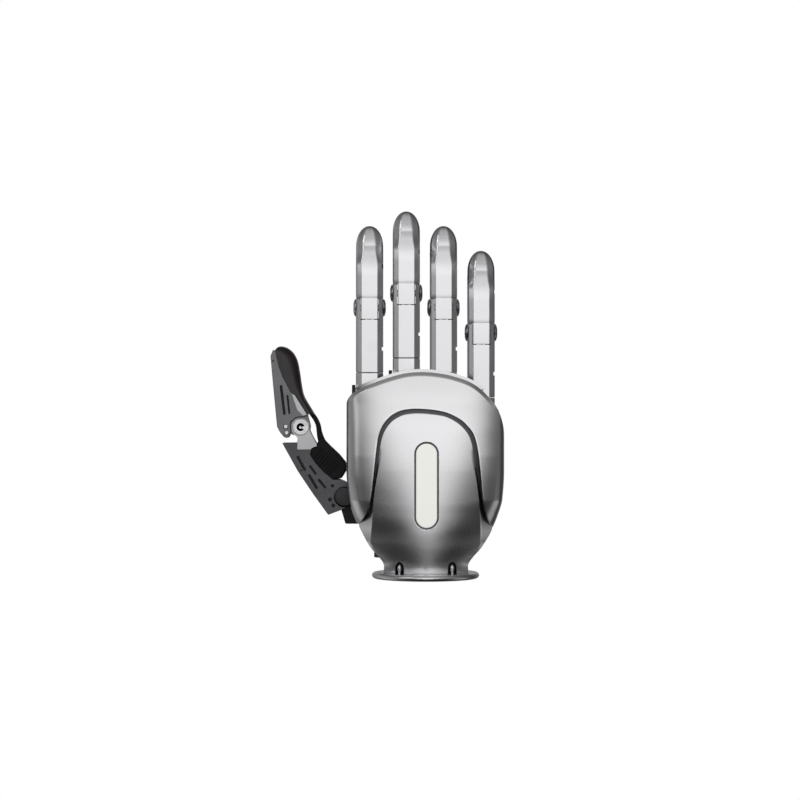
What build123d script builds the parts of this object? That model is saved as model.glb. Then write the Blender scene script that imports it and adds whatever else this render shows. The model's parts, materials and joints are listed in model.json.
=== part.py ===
"""A right prosthetic hand: wrist flange, palm, four geared fingers and a swinging thumb.

Units are millimetres. The origin is the centre of the flange underside, +Z runs up
the hand to the fingertips, the back of the hand faces -Y and the thumb is on -X.
"""

import os
from math import cos, pi, radians, sin

from build123d import (
    Box,
    Cylinder,
    Edge,
    Face,
    Plane,
    Pos,
    Rot,
    Solid,
    Sphere,
    Wire,
    export_step,
    extrude,
)

# Fingers: centre of each finger in X and height of its knuckle axis in Z.
FINGERS = {
    "index": (-30.2, 100.6),
    "middle": (-10.4, 108.5),
    "ring": (9.65, 100.6),
    "little": (29.9, 87.2),
}
FINGER_W = 14.7  # width of a finger in X
FINGER_D = 15.0  # depth of a finger in Y
LINK = 45.2  # knuckle axis to middle-joint axis
TIP = 44.2  # middle-joint axis to fingertip
WALL = 1.6  # wall of the finger covers
AXLE_R = 1.9  # knuckle axle
PIN_R = 1.8  # middle-joint pin
RUN = 0.05  # radial running clearance of every turning joint
GAP = 0.1  # clearance between seated covers
SLOT = 5.2  # slot through the finger for the drive rod and coupling bar
DRIVE_R = 4.8  # crank radius of the drive pin
DRIVE_PIN = 0.9
COUPLE_R = 4.2  # crank radius of the coupling pins
COUPLE_PIN = 0.8
EAR_GAP = 0.35  # finger side to palm ear
EAR_T = 1.8
EAR_R = 3.6

# Palm: half sections along Z as (z, left x, right x, side y, back y, front y, fullness).
PALM = [
    (6.7, -22.4, 22.7, -1.0, -18.5, 14.5, 2.1),
    (20.0, -30.3, 29.9, -2.0, -19.2, 11.0, 2.2),
    (31.2, -35.9, 35.9, -3.0, -19.5, 9.0, 2.3),
    (42.3, -38.7, 40.2, -3.5, -19.6, 9.0, 2.4),
    (58.2, -42.6, 42.2, -4.0, -19.5, 9.0, 2.6),
    (78.0, -42.6, 42.2, -4.0, -18.6, 9.0, 2.9),
    (96.0, -42.6, 41.6, -4.0, -16.2, 9.0, 3.2),
    (113.0, -42.6, 41.6, -4.0, -13.2, 9.0, 3.4),
]
OUTLINE = [
    (-22.4, 6.7), (-30.3, 20.2), (-35.9, 31.2), (-42.6, 58.2), (-42.6, 95.9),
    (-38.2, 100.6), (-30.0, 104.0), (-20.0, 108.0), (-10.0, 110.5), (-2.6, 111.0),
    (9.65, 109.8), (23.7, 106.0), (29.3, 101.9), (34.2, 96.9), (37.3, 94.4),
    (41.0, 85.9), (42.2, 78.0), (42.2, 58.2), (40.2, 42.3), (35.4, 28.9),
    (29.9, 19.4), (22.7, 6.7),
]
TONGUE = [
    (-30.3, 38.4), (-29.2, 48.7), (-26.4, 70.1), (-24.4, 79.6), (-18.5, 87.5),
    (-10.5, 90.3), (-1.8, 89.9), (9.3, 89.1), (17.2, 85.2), (23.5, 78.8),
    (25.9, 73.3), (29.1, 50.3), (30.7, 38.4),
]
SHELL_T = 2.0
PANEL_DROP = 1.2  # the centre panel lies this far under the outer shell
GROOVE = 1.1  # half width of the groove round the centre panel

# Wrist
FLANGE_R = 29.0
FLANGE_T = 3.1
NECK_R = 22.2
MOUNT_PCD = 51.0
MOUNT_HOLE = 3.4
SCREW_PCD = 40.0

# Light strip
LIGHT_X, LIGHT_Z = 0.35, 50.35
LENS_W, LENS_L = 11.1, 44.8
BEZEL_W, BEZEL_L = 13.1, 46.9

# Thumb, which lies flat in the plane y = THUMB_Y
THUMB_Y = 18.0
THUMB_T = 16.0
T_MCP = (-44.1, 43.2)
T_IP = (-68.0, 81.2)
SWING_X = -20.0
SWING_R = 3.0

parts = {}


def box(x0, x1, y0, y1, z0, z1):
    """An upright block between two corners."""
    return Pos((x0 + x1) / 2, (y0 + y1) / 2, (z0 + z1) / 2) * Box(x1 - x0, y1 - y0, z1 - z0)


def rod_x(x0, x1, r, y=0.0, z=0.0):
    """A cylinder along X."""
    return Pos((x0 + x1) / 2, y, z) * Rot(0, 90, 0) * Cylinder(r, x1 - x0)


def rod_y(y0, y1, r, x=0.0, z=0.0):
    """A cylinder along Y."""
    return Pos(x, (y0 + y1) / 2, z) * Rot(90, 0, 0) * Cylinder(r, y1 - y0)


def rod_z(z0, z1, r, x=0.0, y=0.0):
    """A cylinder along Z."""
    return Pos(x, y, (z0 + z1) / 2) * Cylinder(r, z1 - z0)


def stadium(width, length):
    """The light's opening: a long hole with round ends, through the back."""
    reach = (length - width) / 2
    hole = box(LIGHT_X - width / 2, LIGHT_X + width / 2, -30, 0,
               LIGHT_Z - reach, LIGHT_Z + reach)
    for z in (LIGHT_Z - reach, LIGHT_Z + reach):
        hole += rod_y(-30, 0, width / 2, x=LIGHT_X, z=z)
    return hole


def prism(points, axis, a0, a1):
    """A polygon in the plane normal to an axis, extruded from a0 to a1."""
    place = {
        "x": lambda u, v: (a0, u, v),
        "y": lambda u, v: (u, a0, v),
        "z": lambda u, v: (u, v, a0),
    }[axis]
    way = {"x": (1, 0, 0), "y": (0, 1, 0), "z": (0, 0, 1)}[axis]
    face = Face(Wire.make_polygon([place(*p) for p in points], close=True))
    return extrude(face, amount=a1 - a0, dir=way)


def section(half_w, depth, chamfer, y_mid=0.0):
    """An eight-cornered finger section, flat on the back and the front."""
    flat = half_w - chamfer
    side = depth / 2 - chamfer * 1.1
    return [
        (-flat, y_mid - depth / 2), (flat, y_mid - depth / 2), (half_w, y_mid - side),
        (half_w, y_mid + side), (flat, y_mid + depth / 2), (-flat, y_mid + depth / 2),
        (-half_w, y_mid + side), (-half_w, y_mid - side),
    ]


def dome(half_w, base, height, low, skew=0.0, steps=9):
    """A bullet outline: straight from low to base, then an elliptical dome."""
    pts = [(-half_w, low), (half_w, low)]
    for i in range(steps + 1):
        a = pi * i / steps
        pts.append((half_w * cos(a) + skew * sin(a), base + height * sin(a)))
    return pts


def finger_envelope(low, high):
    """The outside of a straight finger between two heights."""
    return prism(section(FINGER_W / 2, FINGER_D, 2.6), "z", low, high)


def crank(radius, side):
    """Where a crank pin stands at rest, 45 degrees below the level of its axis."""
    return side * radius * cos(radians(45)), -radius * sin(radians(45))


def proximal_pieces():
    """The first finger link, its cover and the pin of its upper joint."""
    w, d = FINGER_W / 2, FINGER_D / 2
    cheek = 4.95
    ear_front = 4.5
    body = finger_envelope(2.0, LINK - 7.6) + rod_x(-w, w, 7.3)
    ear = [
        (-d, LINK - 7.8), (ear_front, LINK - 7.8), (ear_front, LINK),
        (3.9, LINK + 2.3), (2.3, LINK + 3.9), (0, LINK + 4.5), (-d, LINK + 4.5),
    ]
    ears = prism(ear, "x", -w, w) & finger_envelope(LINK - 8, LINK + 5)
    body = body + ears
    body -= box(-cheek, cheek, -d - 1, d + 1, LINK - 7.2, LINK + 6)
    body -= box(-SLOT / 2, SLOT / 2, -5.8, 6.45, -9, LINK)
    body -= box(-SLOT / 2, SLOT / 2, -d - 1, d + 1, -9, 2.0)
    body -= box(-SLOT / 2, SLOT / 2, 0, d + 1, 1.0, 6.5)
    seat = finger_envelope(10.0, LINK - 6.8) & box(-w - 1, w + 1, -d - 1, -0.5, 10, LINK - 6.8)
    seat -= box(-w + WALL, w - WALL, -d + WALL, 0, 8, LINK)
    body -= seat
    body -= rod_x(-w - 1, w + 1, AXLE_R + RUN)
    body -= rod_x(-w - 1, w + 1, PIN_R, z=LINK)
    y, z = crank(DRIVE_R, -1)
    body += rod_x(-SLOT / 2 - 1, SLOT / 2 + 1, DRIVE_PIN, y, z)
    cover = finger_envelope(10.0 + GAP, LINK - 6.9) & box(-w - 1, w + 1, -d - 1, -0.6, 10, LINK)
    cover -= box(-w + WALL - GAP, w - WALL + GAP, -d + WALL - GAP, 0, 8, LINK)
    pin = rod_x(-w - 0.3, w + 0.3, PIN_R, z=LINK)
    for side in (-1, 1):
        cap = Pos(side * (w - 3.0), 0, LINK) * Sphere(6.4)
        reach = box(*sorted((side * w, side * (w + 1.5))), -5, 5, LINK - 5, LINK + 5)
        pin += cap & reach & rod_x(-w - 2, w + 2, 4.8, z=LINK)
    return body, cover, pin


def distal_pieces():
    """The second finger link, its cover and its soft tip."""
    w, d = FINGER_W / 2, FINGER_D / 2
    tongue_w = 4.75
    low = 4.7
    shape = finger_envelope(low, TIP)
    shape &= prism(dome(w, TIP - 10.8, 10.8, low - 1), "y", -d - 1, d + 1)
    shape &= prism(dome(d, TIP - 13.0, 13.0, low - 1, skew=0.8), "x", -w - 1, w + 1)
    shell = shape & box(-w, w, -d, -0.6, low, TIP)
    hollow = box(-w + WALL, w - WALL, -d + WALL, 0, low - 1, TIP - 11)
    cover = shell - hollow
    pad = shape & box(-w, w, 3.0, d, 14.0, TIP)
    frame = shape - (shape & box(-w, w, -d, -0.5, low, TIP))
    frame += box(-w + WALL + GAP, w - WALL - GAP, -d + WALL + GAP, 0.5, low, TIP - 11.3)
    frame -= shape & box(-w, w, 3.0 - GAP, d, 14.0 - GAP, TIP)
    frame -= box(-3.4, 3.4, -4.0, 1.0, 12.0, TIP - 14)
    tongue = rod_x(-tongue_w, tongue_w, 6.9)
    tongue += box(-tongue_w, tongue_w, -d, -2.0, -6.5, low + 0.5)
    tongue += box(-tongue_w, tongue_w, -6.0, 6.0, 2.0, low + 0.5)
    tongue -= box(-2.3, 2.3, -6.6, d + 1, -9, 1.7)
    cover -= box(-tongue_w - GAP, tongue_w + GAP, -d - 1, 1, low - 1, low + 0.6)
    frame += tongue
    frame -= rod_x(-w - 1, w + 1, PIN_R + RUN)
    y, z = crank(COUPLE_R, -1)
    frame += rod_x(-3.3, 3.3, COUPLE_PIN, y, z)
    return [Pos(0, 0, LINK) * s for s in (frame, cover, pad)]


def drive_rod():
    """The rod that lifts the drive pin of a finger through an open fork."""
    y, z = crank(DRIVE_R, -1)
    fork = box(-1.6, 1.6, -6.9, -2.3, z - 2.2, z + 2.2)
    fork -= box(-2, 2, -5.95, 0, z - 1.25, z + 1.25)
    stem = box(-1.6, 1.6, -6.9, -5.6, -23.0, z - 1.6)
    return fork + stem + rod_z(-34.0, -22.0, 1.5, y=-5.6)


def coupling_bar():
    """The bar inside a finger that bends the upper joint with the knuckle."""
    y, z = crank(COUPLE_R, 1)
    head = box(-2.2, 2.2, 2.25, 6.2, z - 2.1, z + 2.1) - box(-3, 3, 0, 5.25, z - 1.1, z + 1.1)
    stem = box(-2.2, 2.2, 4.7, 6.2, z + 1.4, 11.0)
    lower = head + stem - box(-1.0, 1.0, 0, 8, -8, 8.5)
    slope = prism([(4.7, 9.5), (6.2, 9.5), (6.2, 11.5), (-4.4, 33.5), (-5.7, 33.5), (-5.7, 31.5)],
                  "x", -1.3, 1.3)
    zt = LINK + z
    upper = box(-1.3, 1.3, -5.7, -4.4, 31.5, zt - 1.2)
    hook = box(-1.3, 1.3, -6.2, -2.25, zt - 2.1, zt + 2.1)
    hook -= box(-2, 2, -5.25, 0, zt - 1.1, zt + 1.1)
    return lower + slope + upper + hook


def palm_loft(inset=0.0, drop=0.0):
    """The palm as a solid, with its walls moved inwards and its back lowered."""
    wires = []
    for z, left, right, side, back, front, full in PALM:
        left, right = left + inset, right - inset
        back, front = back + inset + drop, front - inset
        mid, half = (left + right) / 2, (right - left) / 2
        pts = []
        for i in range(13):
            t = cos(pi * (1 - i / 12))
            bulge = (1 - min(abs(t), 1) ** full) ** (1 / full)
            pts.append((mid + half * t, side + (back - side) * bulge, z))
        dorsal = Edge.make_spline(pts)
        corner = min(6.0, half * 0.3)
        loop = [pts[-1], (right, front - corner, z), (right - corner, front, z),
                (left + corner, front, z), (left, front - corner, z), pts[0]]
        sides = [Edge.make_line(a, b) for a, b in zip(loop, loop[1:])]
        wires.append(Wire([dorsal] + sides))
    return Solid.make_loft(wires)


def inset_polygon(points, amount, centre=(0.0, 60.0)):
    """Corners pulled towards a centre by a fixed amount."""
    out = []
    for x, z in points:
        dx, dz = centre[0] - x, centre[1] - z
        n = (dx * dx + dz * dz) ** 0.5
        out.append((x + dx / n * amount, z + dz / n * amount))
    return out


def tongue_region(grow):
    """The outline of the centre panel, grown or shrunk sideways and at its top."""
    cx, cz = 0.3, 50.0
    pts = []
    for x, z in TONGUE:
        dx, dz = x - cx, max(z - cz, 0.0)
        n = (dx * dx + dz * dz) ** 0.5
        pts.append((x + dx / n * grow, z + dz / n * grow))
    (lx, lz), (rx, rz) = pts[0], pts[-1]
    return [(lx, 2.0), (lx, lz)] + pts[1:-1] + [(rx, rz), (rx, 2.0)]


def palm_pieces():
    """The palm skeleton, its shells and everything they hold."""
    outer = palm_loft() & prism(OUTLINE, "y", -30, 30)
    inner = palm_loft(SHELL_T)
    split = -0.5
    back = (outer & box(-60, 60, -30, split, 0, 120)) - inner
    back -= box(-60, 60, -30, 30, 90, 120) & palm_loft(SHELL_T, 0.0)
    region_out = prism(tongue_region(GROOVE), "y", -30, 0)
    region_in = prism(tongue_region(-GROOVE), "y", -30, 0)
    shell = back - region_out
    low = palm_loft(0.0, PANEL_DROP) & prism(OUTLINE, "y", -30, 30)
    low &= box(-60, 60, -30, split, 0, 120)
    low -= palm_loft(SHELL_T, PANEL_DROP)
    panel = low & region_in
    rim = (low & region_out) - region_in
    rim = rim - palm_loft(0.6, PANEL_DROP)
    light = stadium(BEZEL_W, BEZEL_L)
    panel -= light
    front = (outer & box(-60, 60, split + GAP, 30, 0, 120)) - inner
    front -= box(-60, 60, -1, 30, 76.0, 120)
    for name, (x, z) in FINGERS.items():
        reach = box(x - 10.2, x + 10.2, -30, 30, z - 9.2, 130)
        front -= reach
    return shell, panel, front, light, outer, inner


def put(name, shape):
    """Keep a finished piece under its node name."""
    parts[name] = shape


def build_fingers():
    """Four copies of the finger, one set of nodes each."""
    body, cover, pin = proximal_pieces()
    frame, lid, pad = distal_pieces()
    rod, bar = drive_rod(), coupling_bar()
    pieces = {
        "proximal_frame": body, "proximal_cover": cover, "pip_pin": pin,
        "distal_frame": frame, "distal_cover": lid, "fingertip_pad": pad,
        "drive_rod": rod, "coupling_bar": bar,
    }
    for finger, (x, z) in FINGERS.items():
        for kind, shape in pieces.items():
            put(f"{finger}_{kind}", Pos(x, 0, z) * shape)


def build_palm():
    """Palm shells, skeleton, light, boards, motors, axles and screws."""
    shell, panel, front, light, outer, inner = palm_pieces()
    plate = prism(inset_polygon(OUTLINE, 3.4), "y", 0.5, 6.4) & inner
    plate &= box(-60, 60, 0, 7, 12.0, 120)
    w = FINGER_W / 2 + EAR_GAP
    for x, z in FINGERS.values():
        plate -= box(x - w - EAR_T - 0.6, x + w + EAR_T + 0.6, -1, 8, z - 8.6, 130)
    frame = plate
    axles = None
    for x, z in FINGERS.values():
        for side in (-1, 1):
            x0, x1 = sorted((x + side * w, x + side * (w + EAR_T)))
            ear = box(x0, x1, -EAR_R, EAR_R, z - 9.0, z) + rod_x(x0, x1, EAR_R, z=z)
            ear += box(x0, x1, 0.5, 6.4, z - 14.0, z - 8.0) & inner
            frame += ear
            shell -= box(x0 - 0.3, x1 + 0.3, -EAR_R - 0.3, EAR_R, z - 9.3, z + EAR_R + 0.3)
        y0, z0 = crank(COUPLE_R, 1)
        tab = box(x - 0.8, x + 0.8, y0 - 1.3, y0 + 1.3, z - 9.5, z + z0)
        tab += rod_x(x - 0.8, x + 0.8, 1.3, y0, z + z0)
        frame += tab + rod_x(x - 2.2, x + 2.2, COUPLE_PIN, y0, z + z0)
        axle = rod_x(x - w - EAR_T, x + w + EAR_T, AXLE_R, z=z)
        axles = axle if axles is None else axles + axle
    motors = None
    for x, z in FINGERS.values():
        can = rod_z(z - 50.0, z - 24.5, 4.6, x=x, y=-5.2)
        can -= rod_z(z - 35.0, z - 24.0, 1.9, x=x, y=-5.6)
        can += box(x - 4.0, x + 4.0, -2.0, 0.5, z - 48.0, z - 26.0)
        can -= rod_z(z - 35.0, z - 24.0, 1.9, x=x, y=-5.6)
        motors = can if motors is None else motors + can
    frame -= axles
    frame += box(-16, 16, -6, 6.4, 10.0, 20.0)

    # the thumb swing housing stands on the skeleton through the front shell
    housing = rod_z(10.0, 27.8, 8.0, x=SWING_X, y=THUMB_Y)
    housing += box(SWING_X - 7.0, SWING_X + 7.0, 6.5, THUMB_Y, 12.0, 27.0)
    housing -= rod_z(11.5, 24.0, 6.0, x=SWING_X, y=THUMB_Y)
    housing -= rod_z(20.0, 29.0, SWING_R + RUN, x=SWING_X, y=THUMB_Y)
    motor = rod_z(11.5, 18.5, 5.9, x=SWING_X, y=THUMB_Y)
    front -= box(SWING_X - 8.2, SWING_X + 8.2, 2.0, 30, 0, 28.2)
    frame += box(SWING_X - 4.0, SWING_X + 4.0, 0.5, 6.5, 13.0, 26.0)

    # wrist
    flange = rod_z(0, FLANGE_T, FLANGE_R)
    neck = rod_z(FLANGE_T, 10.0, NECK_R) & prism(
        [(-22.2, -17.6), (22.2, -17.6), (22.2, 13.6), (-22.2, 13.6)], "z", 0, 30)
    neck -= outer & box(-60, 60, -30, 30, 6.6, 40)
    neck += box(-15.8, 15.8, -5.8, 5.8, 6.0, 9.9)
    screws = None
    for k in range(4):
        a = radians(45 + 90 * k)
        sx, sy = SCREW_PCD / 2 * cos(a), SCREW_PCD / 2 * sin(a)
        screw = rod_z(FLANGE_T, FLANGE_T + 3.0, 2.75, x=sx, y=sy)
        screw += rod_z(0.6, FLANGE_T + 0.1, 1.5, x=sx, y=sy)
        screw -= rod_z(FLANGE_T + 1.6, FLANGE_T + 3.5, 1.3, x=sx, y=sy)
        screws = screw if screws is None else screws + screw
        neck -= rod_z(FLANGE_T - 1, 6.6, 3.4, x=sx, y=sy)
        shell -= rod_z(0, 7.6, 3.4, x=sx, y=sy)
        panel -= rod_z(0, 7.6, 3.4, x=sx, y=sy)
        front -= rod_z(0, 7.6, 3.4, x=sx, y=sy)
        flange -= rod_z(0.6, 6, 1.5, x=sx, y=sy)
        b = radians(90 * k)
        mx, my = MOUNT_PCD / 2 * cos(b), MOUNT_PCD / 2 * sin(b)
        flange -= rod_z(-1, 6, MOUNT_HOLE / 2, x=mx, y=my)
        neck -= rod_z(FLANGE_T - 1, 6.6, 3.4, x=mx, y=my)

    # light strip
    face_y = -18.9
    bezel = light & box(-60, 60, face_y + 0.4, -15.6, 0, 120)
    lens_hole = stadium(LENS_W, LENS_L)
    bezel -= lens_hole & box(-60, 60, -30, -16.6, 0, 120)
    lens = lens_hole & box(-60, 60, face_y, -16.6, 0, 120)
    board = box(-8, 8, SHELL_T - 17.5, SHELL_T - 16.3, 28, 72)
    control = box(-20, 20, -13.2, -11.6, 26, 70)
    for x in (-14, -4, 8):
        control += box(x - 3, x + 5, -11.7, -10.2, 34, 44)

    pad = prism([(-8, 34), (30, 34), (34, 60), (32, 74), (-26, 74), (-28, 52)],
                "y", 8.2, 9.4)
    front -= pad
    front_screws = None
    for x, z in ((-34, 50), (34, 50), (-34, 72), (34, 72)):
        screw = rod_y(5.0, 9.2, 1.2, x=x, z=z) + rod_y(7.4, 9.2, 2.2, x=x, z=z)
        screw -= rod_y(8.4, 9.6, 1.0, x=x, z=z)
        front -= rod_y(3.0, 9.6, 1.2, x=x, z=z) + rod_y(7.4, 9.6, 2.2, x=x, z=z)
        frame += rod_y(4.9, 7.0, 3.0, x=x, z=z) & inner
        frame -= rod_y(5.0, 9.6, 1.2, x=x, z=z)
        front_screws = screw if front_screws is None else front_screws + screw
    pad -= rod_y(7, 12, 2.4, x=34, z=50) + rod_y(7, 12, 2.4, x=34, z=72)
    for name, shape in {
        "wrist_flange": flange, "flange_screws": screws, "wrist_connector": neck,
        "palm_frame": frame, "knuckle_shell": shell, "back_panel": panel,
        "palmar_shell": front, "palm_pad": pad, "light_bezel": bezel,
        "light_lens": lens, "light_board": board, "control_board": control,
        "finger_actuators": motors, "mcp_axles": axles, "shell_screws": front_screws,
        "thumb_swing_motor": motor, "thenar_housing": housing,
    }.items():
        put(name, shape)


def build_thumb():
    """The swing yoke and the two thumb links."""
    y0, y1 = THUMB_Y - THUMB_T / 2, THUMB_Y + THUMB_T / 2
    (mx, mz), (ix, iz) = T_MCP, T_IP
    t0, t1 = y0 + 3.3, y1 - 3.3
    yoke = rod_z(28.2, 36.0, 7.0, x=SWING_X, y=THUMB_Y)
    yoke += box(-40.0, SWING_X, t0, t1, 28.4, 36.0)
    yoke += prism([(-38.0, 28.4), (-37.0, 36.0), (-38.6, 44.0), (-44.1, 49.0), (-49.6, 44.0),
                   (-46.0, 36.5), (-43.6, 28.4)], "y", t0, t1)
    yoke += rod_z(19.0, 30.0, SWING_R, x=SWING_X, y=THUMB_Y)
    yoke -= rod_y(y0 - 1, y1 + 1, 2.0 + RUN, x=mx, z=mz)
    mcp_pin = rod_y(y0 + 0.2, y1 - 0.2, 2.0, x=mx, z=mz)
    for a, b in ((y0 - 0.6, y0), (y1, y1 + 0.6)):
        mcp_pin += rod_y(a, b, 4.4, x=mx, z=mz)
    mcp_pin += rod_y(y0 - 0.3, y1 + 0.3, 2.0, x=mx, z=mz)

    plan = [(-78.0, 72.6), (-69.4, 57.1), (-52.9, 33.3), (-43.5, 36.9), (-38.9, 41.0),
            (-38.6, 46.0), (-42.5, 51.4), (-45.4, 53.0), (-50.0, 52.0), (-62.9, 66.3),
            (-62.0, 69.1), (-69.8, 69.1), (-69.6, 72.7)]
    block = prism(plan, "y", y0, y1)
    block -= prism(dome_points(mx, mz, 7.2), "y", t0 - 0.3, t1 + 0.3)
    block -= box(-50.5, -30, t0 - 0.3, t1 + 0.3, 20, 49.5)
    block -= prism([(-60, 33), (-50.4, 33), (-50.4, 46), (-53, 46)], "y", t0 - 0.3, t1 + 0.3)
    neck = prism([(-71.9, 66.9), (-61.6, 66.9), (-60.6, 72.0), (-63.0, 81.0), (-73.0, 81.0),
                  (-71.0, 73.0)], "y", y0 + 0.3, y1 - 0.3)
    neck += rod_y(y0 + 0.3, y1 - 0.3, 5.0, x=ix, z=iz)
    neck -= box(-80, -50, t0 - 0.3, t1 + 0.3, 73.6, 90)
    proximal = block + neck
    skin = prism([(-76.4, 71.6), (-69.0, 59.0), (-54.5, 37.5), (-51.6, 40.0), (-52.6, 46.0),
                  (-52.0, 50.8), (-64.0, 64.6), (-66.5, 66.2), (-71.5, 66.4), (-73.2, 71.4)],
                 "y", y0, y0 + 1.2)
    proximal -= skin
    cavity = Pos(-61.7, THUMB_Y, 55.7) * Rot(0, -32.2, 0)
    motor = cavity * Cylinder(3.5, 14.0)
    proximal -= cavity * Cylinder(3.6, 14.2)
    proximal -= rod_y(y0 - 1, y1 + 1, 2.0, x=mx, z=mz) + rod_y(y0 - 1, y1 + 1, 1.7, x=ix, z=iz)
    ip_pin = rod_y(y0 + 0.1, y1 - 0.1, 1.7, x=ix, z=iz)
    grip = [(-62.7, 66.4), (-50.0, 52.3), (-45.4, 53.3), (-43.2, 61.6), (-51.7, 70.0),
            (-61.5, 68.8)]
    grip_pad = prism(grip, "y", y0 + 1.0, y1 - 1.0)
    grip_pad -= proximal + skin

    metal = [(-84.5, 120.3), (-83.4, 107.6), (-82.1, 94.9), (-80.7, 81.2), (-79.2, 78.7),
             (-76.7, 75.4), (-75.3, 74.9), (-73.2, 79.0), (-73.6, 84.0), (-68.6, 87.0),
             (-64.0, 87.7), (-70.9, 98.6), (-73.4, 100.4), (-77.4, 107.9), (-79.6, 113.7),
             (-81.8, 122.4)]
    distal = prism(metal, "y", y0 + 0.4, y1 - 0.4)
    distal += prism([(-76.0, 78.0), (-73.0, 77.2), (-68.0, 75.9), (-63.0, 78.0), (-62.7, 82.0),
                     (-64.0, 87.7), (-74.0, 88.0)], "y", t0, t1)
    distal -= rod_y(y0 - 1, t0, 5.4, x=ix, z=iz) + rod_y(t1, y1 + 1, 5.4, x=ix, z=iz)
    distal -= rod_y(y0 - 1, y1 + 1, 1.7 + RUN, x=ix, z=iz)
    tip = [(-81.7, 122.6), (-78.9, 125.5), (-74.5, 124.6), (-71.0, 121.3), (-69.1, 116.6),
           (-67.7, 105.8), (-66.2, 98.6), (-66.6, 92.5), (-70.8, 98.7), (-73.3, 100.5),
           (-77.3, 108.0), (-79.5, 113.8)]
    tip_pad = prism(tip, "y", y0 + 0.6, y1 - 0.6)
    tip_pad -= distal
    strap_out = [(-66.2, 98.6), (-62.6, 92.1), (-59.0, 86.6), (-57.3, 82.6), (-56.6, 78.8),
                 (-55.7, 75.0), (-52.2, 70.1)]
    strap_in = [(-54.3, 70.0), (-57.9, 74.5), (-58.8, 78.5), (-59.5, 82.0), (-61.1, 85.7),
                (-64.3, 90.9), (-66.4, 94.0)]
    strap = prism(strap_out + strap_in, "y", THUMB_Y - 3.0, THUMB_Y + 3.0)
    strap -= tip_pad
    strap -= grip_pad
    strap -= distal
    screws = None
    for x, z in ((-77.4, 88.0), (-78.6, 84.0)):
        screw = rod_y(y0 + 0.1, y0 + 4.0, 1.3, x=x, z=z)
        distal -= rod_y(y0 - 1, y0 + 4.0, 1.3, x=x, z=z)
        screws = screw if screws is None else screws + screw
    for name, shape in {
        "thumb_yoke": yoke, "thumb_mcp_pin": mcp_pin, "thumb_proximal_frame": proximal,
        "thumb_proximal_cover": skin, "thumb_grip_pad": grip_pad, "thumb_actuator": motor,
        "thumb_distal_frame": distal, "thumb_fingertip_pad": tip_pad, "thumb_ip_pin": ip_pin,
        "thumb_sensor_strap": strap, "thumb_screws": screws,
    }.items():
        put(name, shape)


def dome_points(x, z, r, steps=16):
    """Corners of a circle as a polygon."""
    return [(x + r * cos(2 * pi * i / steps), z + r * sin(2 * pi * i / steps))
            for i in range(steps)]


def main():
    """Build every piece and write one file for each."""
    build_fingers()
    build_palm()
    build_thumb()
    os.makedirs("parts", exist_ok=True)
    for name, shape in parts.items():
        export_step(shape, f"parts/{name}.step")


main()
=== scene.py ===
"""A right prosthetic hand: metal finger modules, a two-part back shell and a swinging thumb."""

from __future__ import annotations

import json
import logging
import math
from dataclasses import dataclass
from enum import Enum
from typing import Iterable, Sequence

import bmesh
import bpy
from mathutils import Matrix, Vector

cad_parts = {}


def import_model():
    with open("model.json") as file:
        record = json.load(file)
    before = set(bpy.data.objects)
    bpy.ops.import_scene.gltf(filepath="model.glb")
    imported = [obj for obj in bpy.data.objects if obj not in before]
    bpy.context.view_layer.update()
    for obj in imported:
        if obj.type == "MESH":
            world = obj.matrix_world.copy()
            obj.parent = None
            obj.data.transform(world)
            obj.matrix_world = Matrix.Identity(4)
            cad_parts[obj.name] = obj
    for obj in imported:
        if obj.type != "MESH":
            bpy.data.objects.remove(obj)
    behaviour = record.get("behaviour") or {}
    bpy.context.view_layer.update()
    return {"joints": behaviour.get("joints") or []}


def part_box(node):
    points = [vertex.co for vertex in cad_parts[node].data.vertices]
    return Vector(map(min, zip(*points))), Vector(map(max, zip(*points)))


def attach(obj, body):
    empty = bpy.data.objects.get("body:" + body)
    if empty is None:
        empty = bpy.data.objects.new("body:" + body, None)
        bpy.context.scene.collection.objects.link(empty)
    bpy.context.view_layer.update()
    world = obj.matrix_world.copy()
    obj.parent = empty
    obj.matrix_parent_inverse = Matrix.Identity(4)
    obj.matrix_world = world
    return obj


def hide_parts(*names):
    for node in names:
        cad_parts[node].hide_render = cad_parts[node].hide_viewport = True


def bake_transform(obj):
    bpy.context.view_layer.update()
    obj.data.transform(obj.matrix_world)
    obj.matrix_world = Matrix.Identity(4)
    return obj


log = logging.getLogger("hand")

MM = 0.001
RIB_HEIGHT = 0.25
FINGERS = ("index", "middle", "ring", "little")
Point2 = tuple[float, float]
Point3 = tuple[float, float, float]


class Axis(Enum):
    """The three directions a profile is pushed along or turned about."""

    X = 0
    Y = 1
    Z = 2


def clamped(value: float) -> float:
    """Keeps a value between 0 and 1."""
    return min(max(value, 0.0), 1.0)


# --------------------------------------------------------------------------- finishes


def srgb(code: str) -> tuple[float, float, float, float]:
    """Turns a hex colour into linear light.

    Args:
        code: Six hex digits.

    Returns:
        Red, green, blue and alpha.
    """
    out = []
    for i in (0, 2, 4):
        c = int(code[i : i + 2], 16) / 255
        out.append(c / 12.92 if c <= 0.04045 else ((c + 0.055) / 1.055) ** 2.4)
    return (out[0], out[1], out[2], 1.0)


def add_node(
    tree: bpy.types.NodeTree, kind: str, settings: dict | None = None, values: dict | None = None
) -> bpy.types.Node:
    """Adds a node and sets its properties and unlinked sockets.

    Args:
        tree: The node tree.
        kind: The node's type name.
        settings: Properties by name.
        values: Socket values by name or number.

    Returns:
        The new node.
    """
    node = tree.nodes.new(kind)
    for key, value in (settings or {}).items():
        setattr(node, key, value)
    for key, value in (values or {}).items():
        node.inputs[key].default_value = value
    return node


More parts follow.
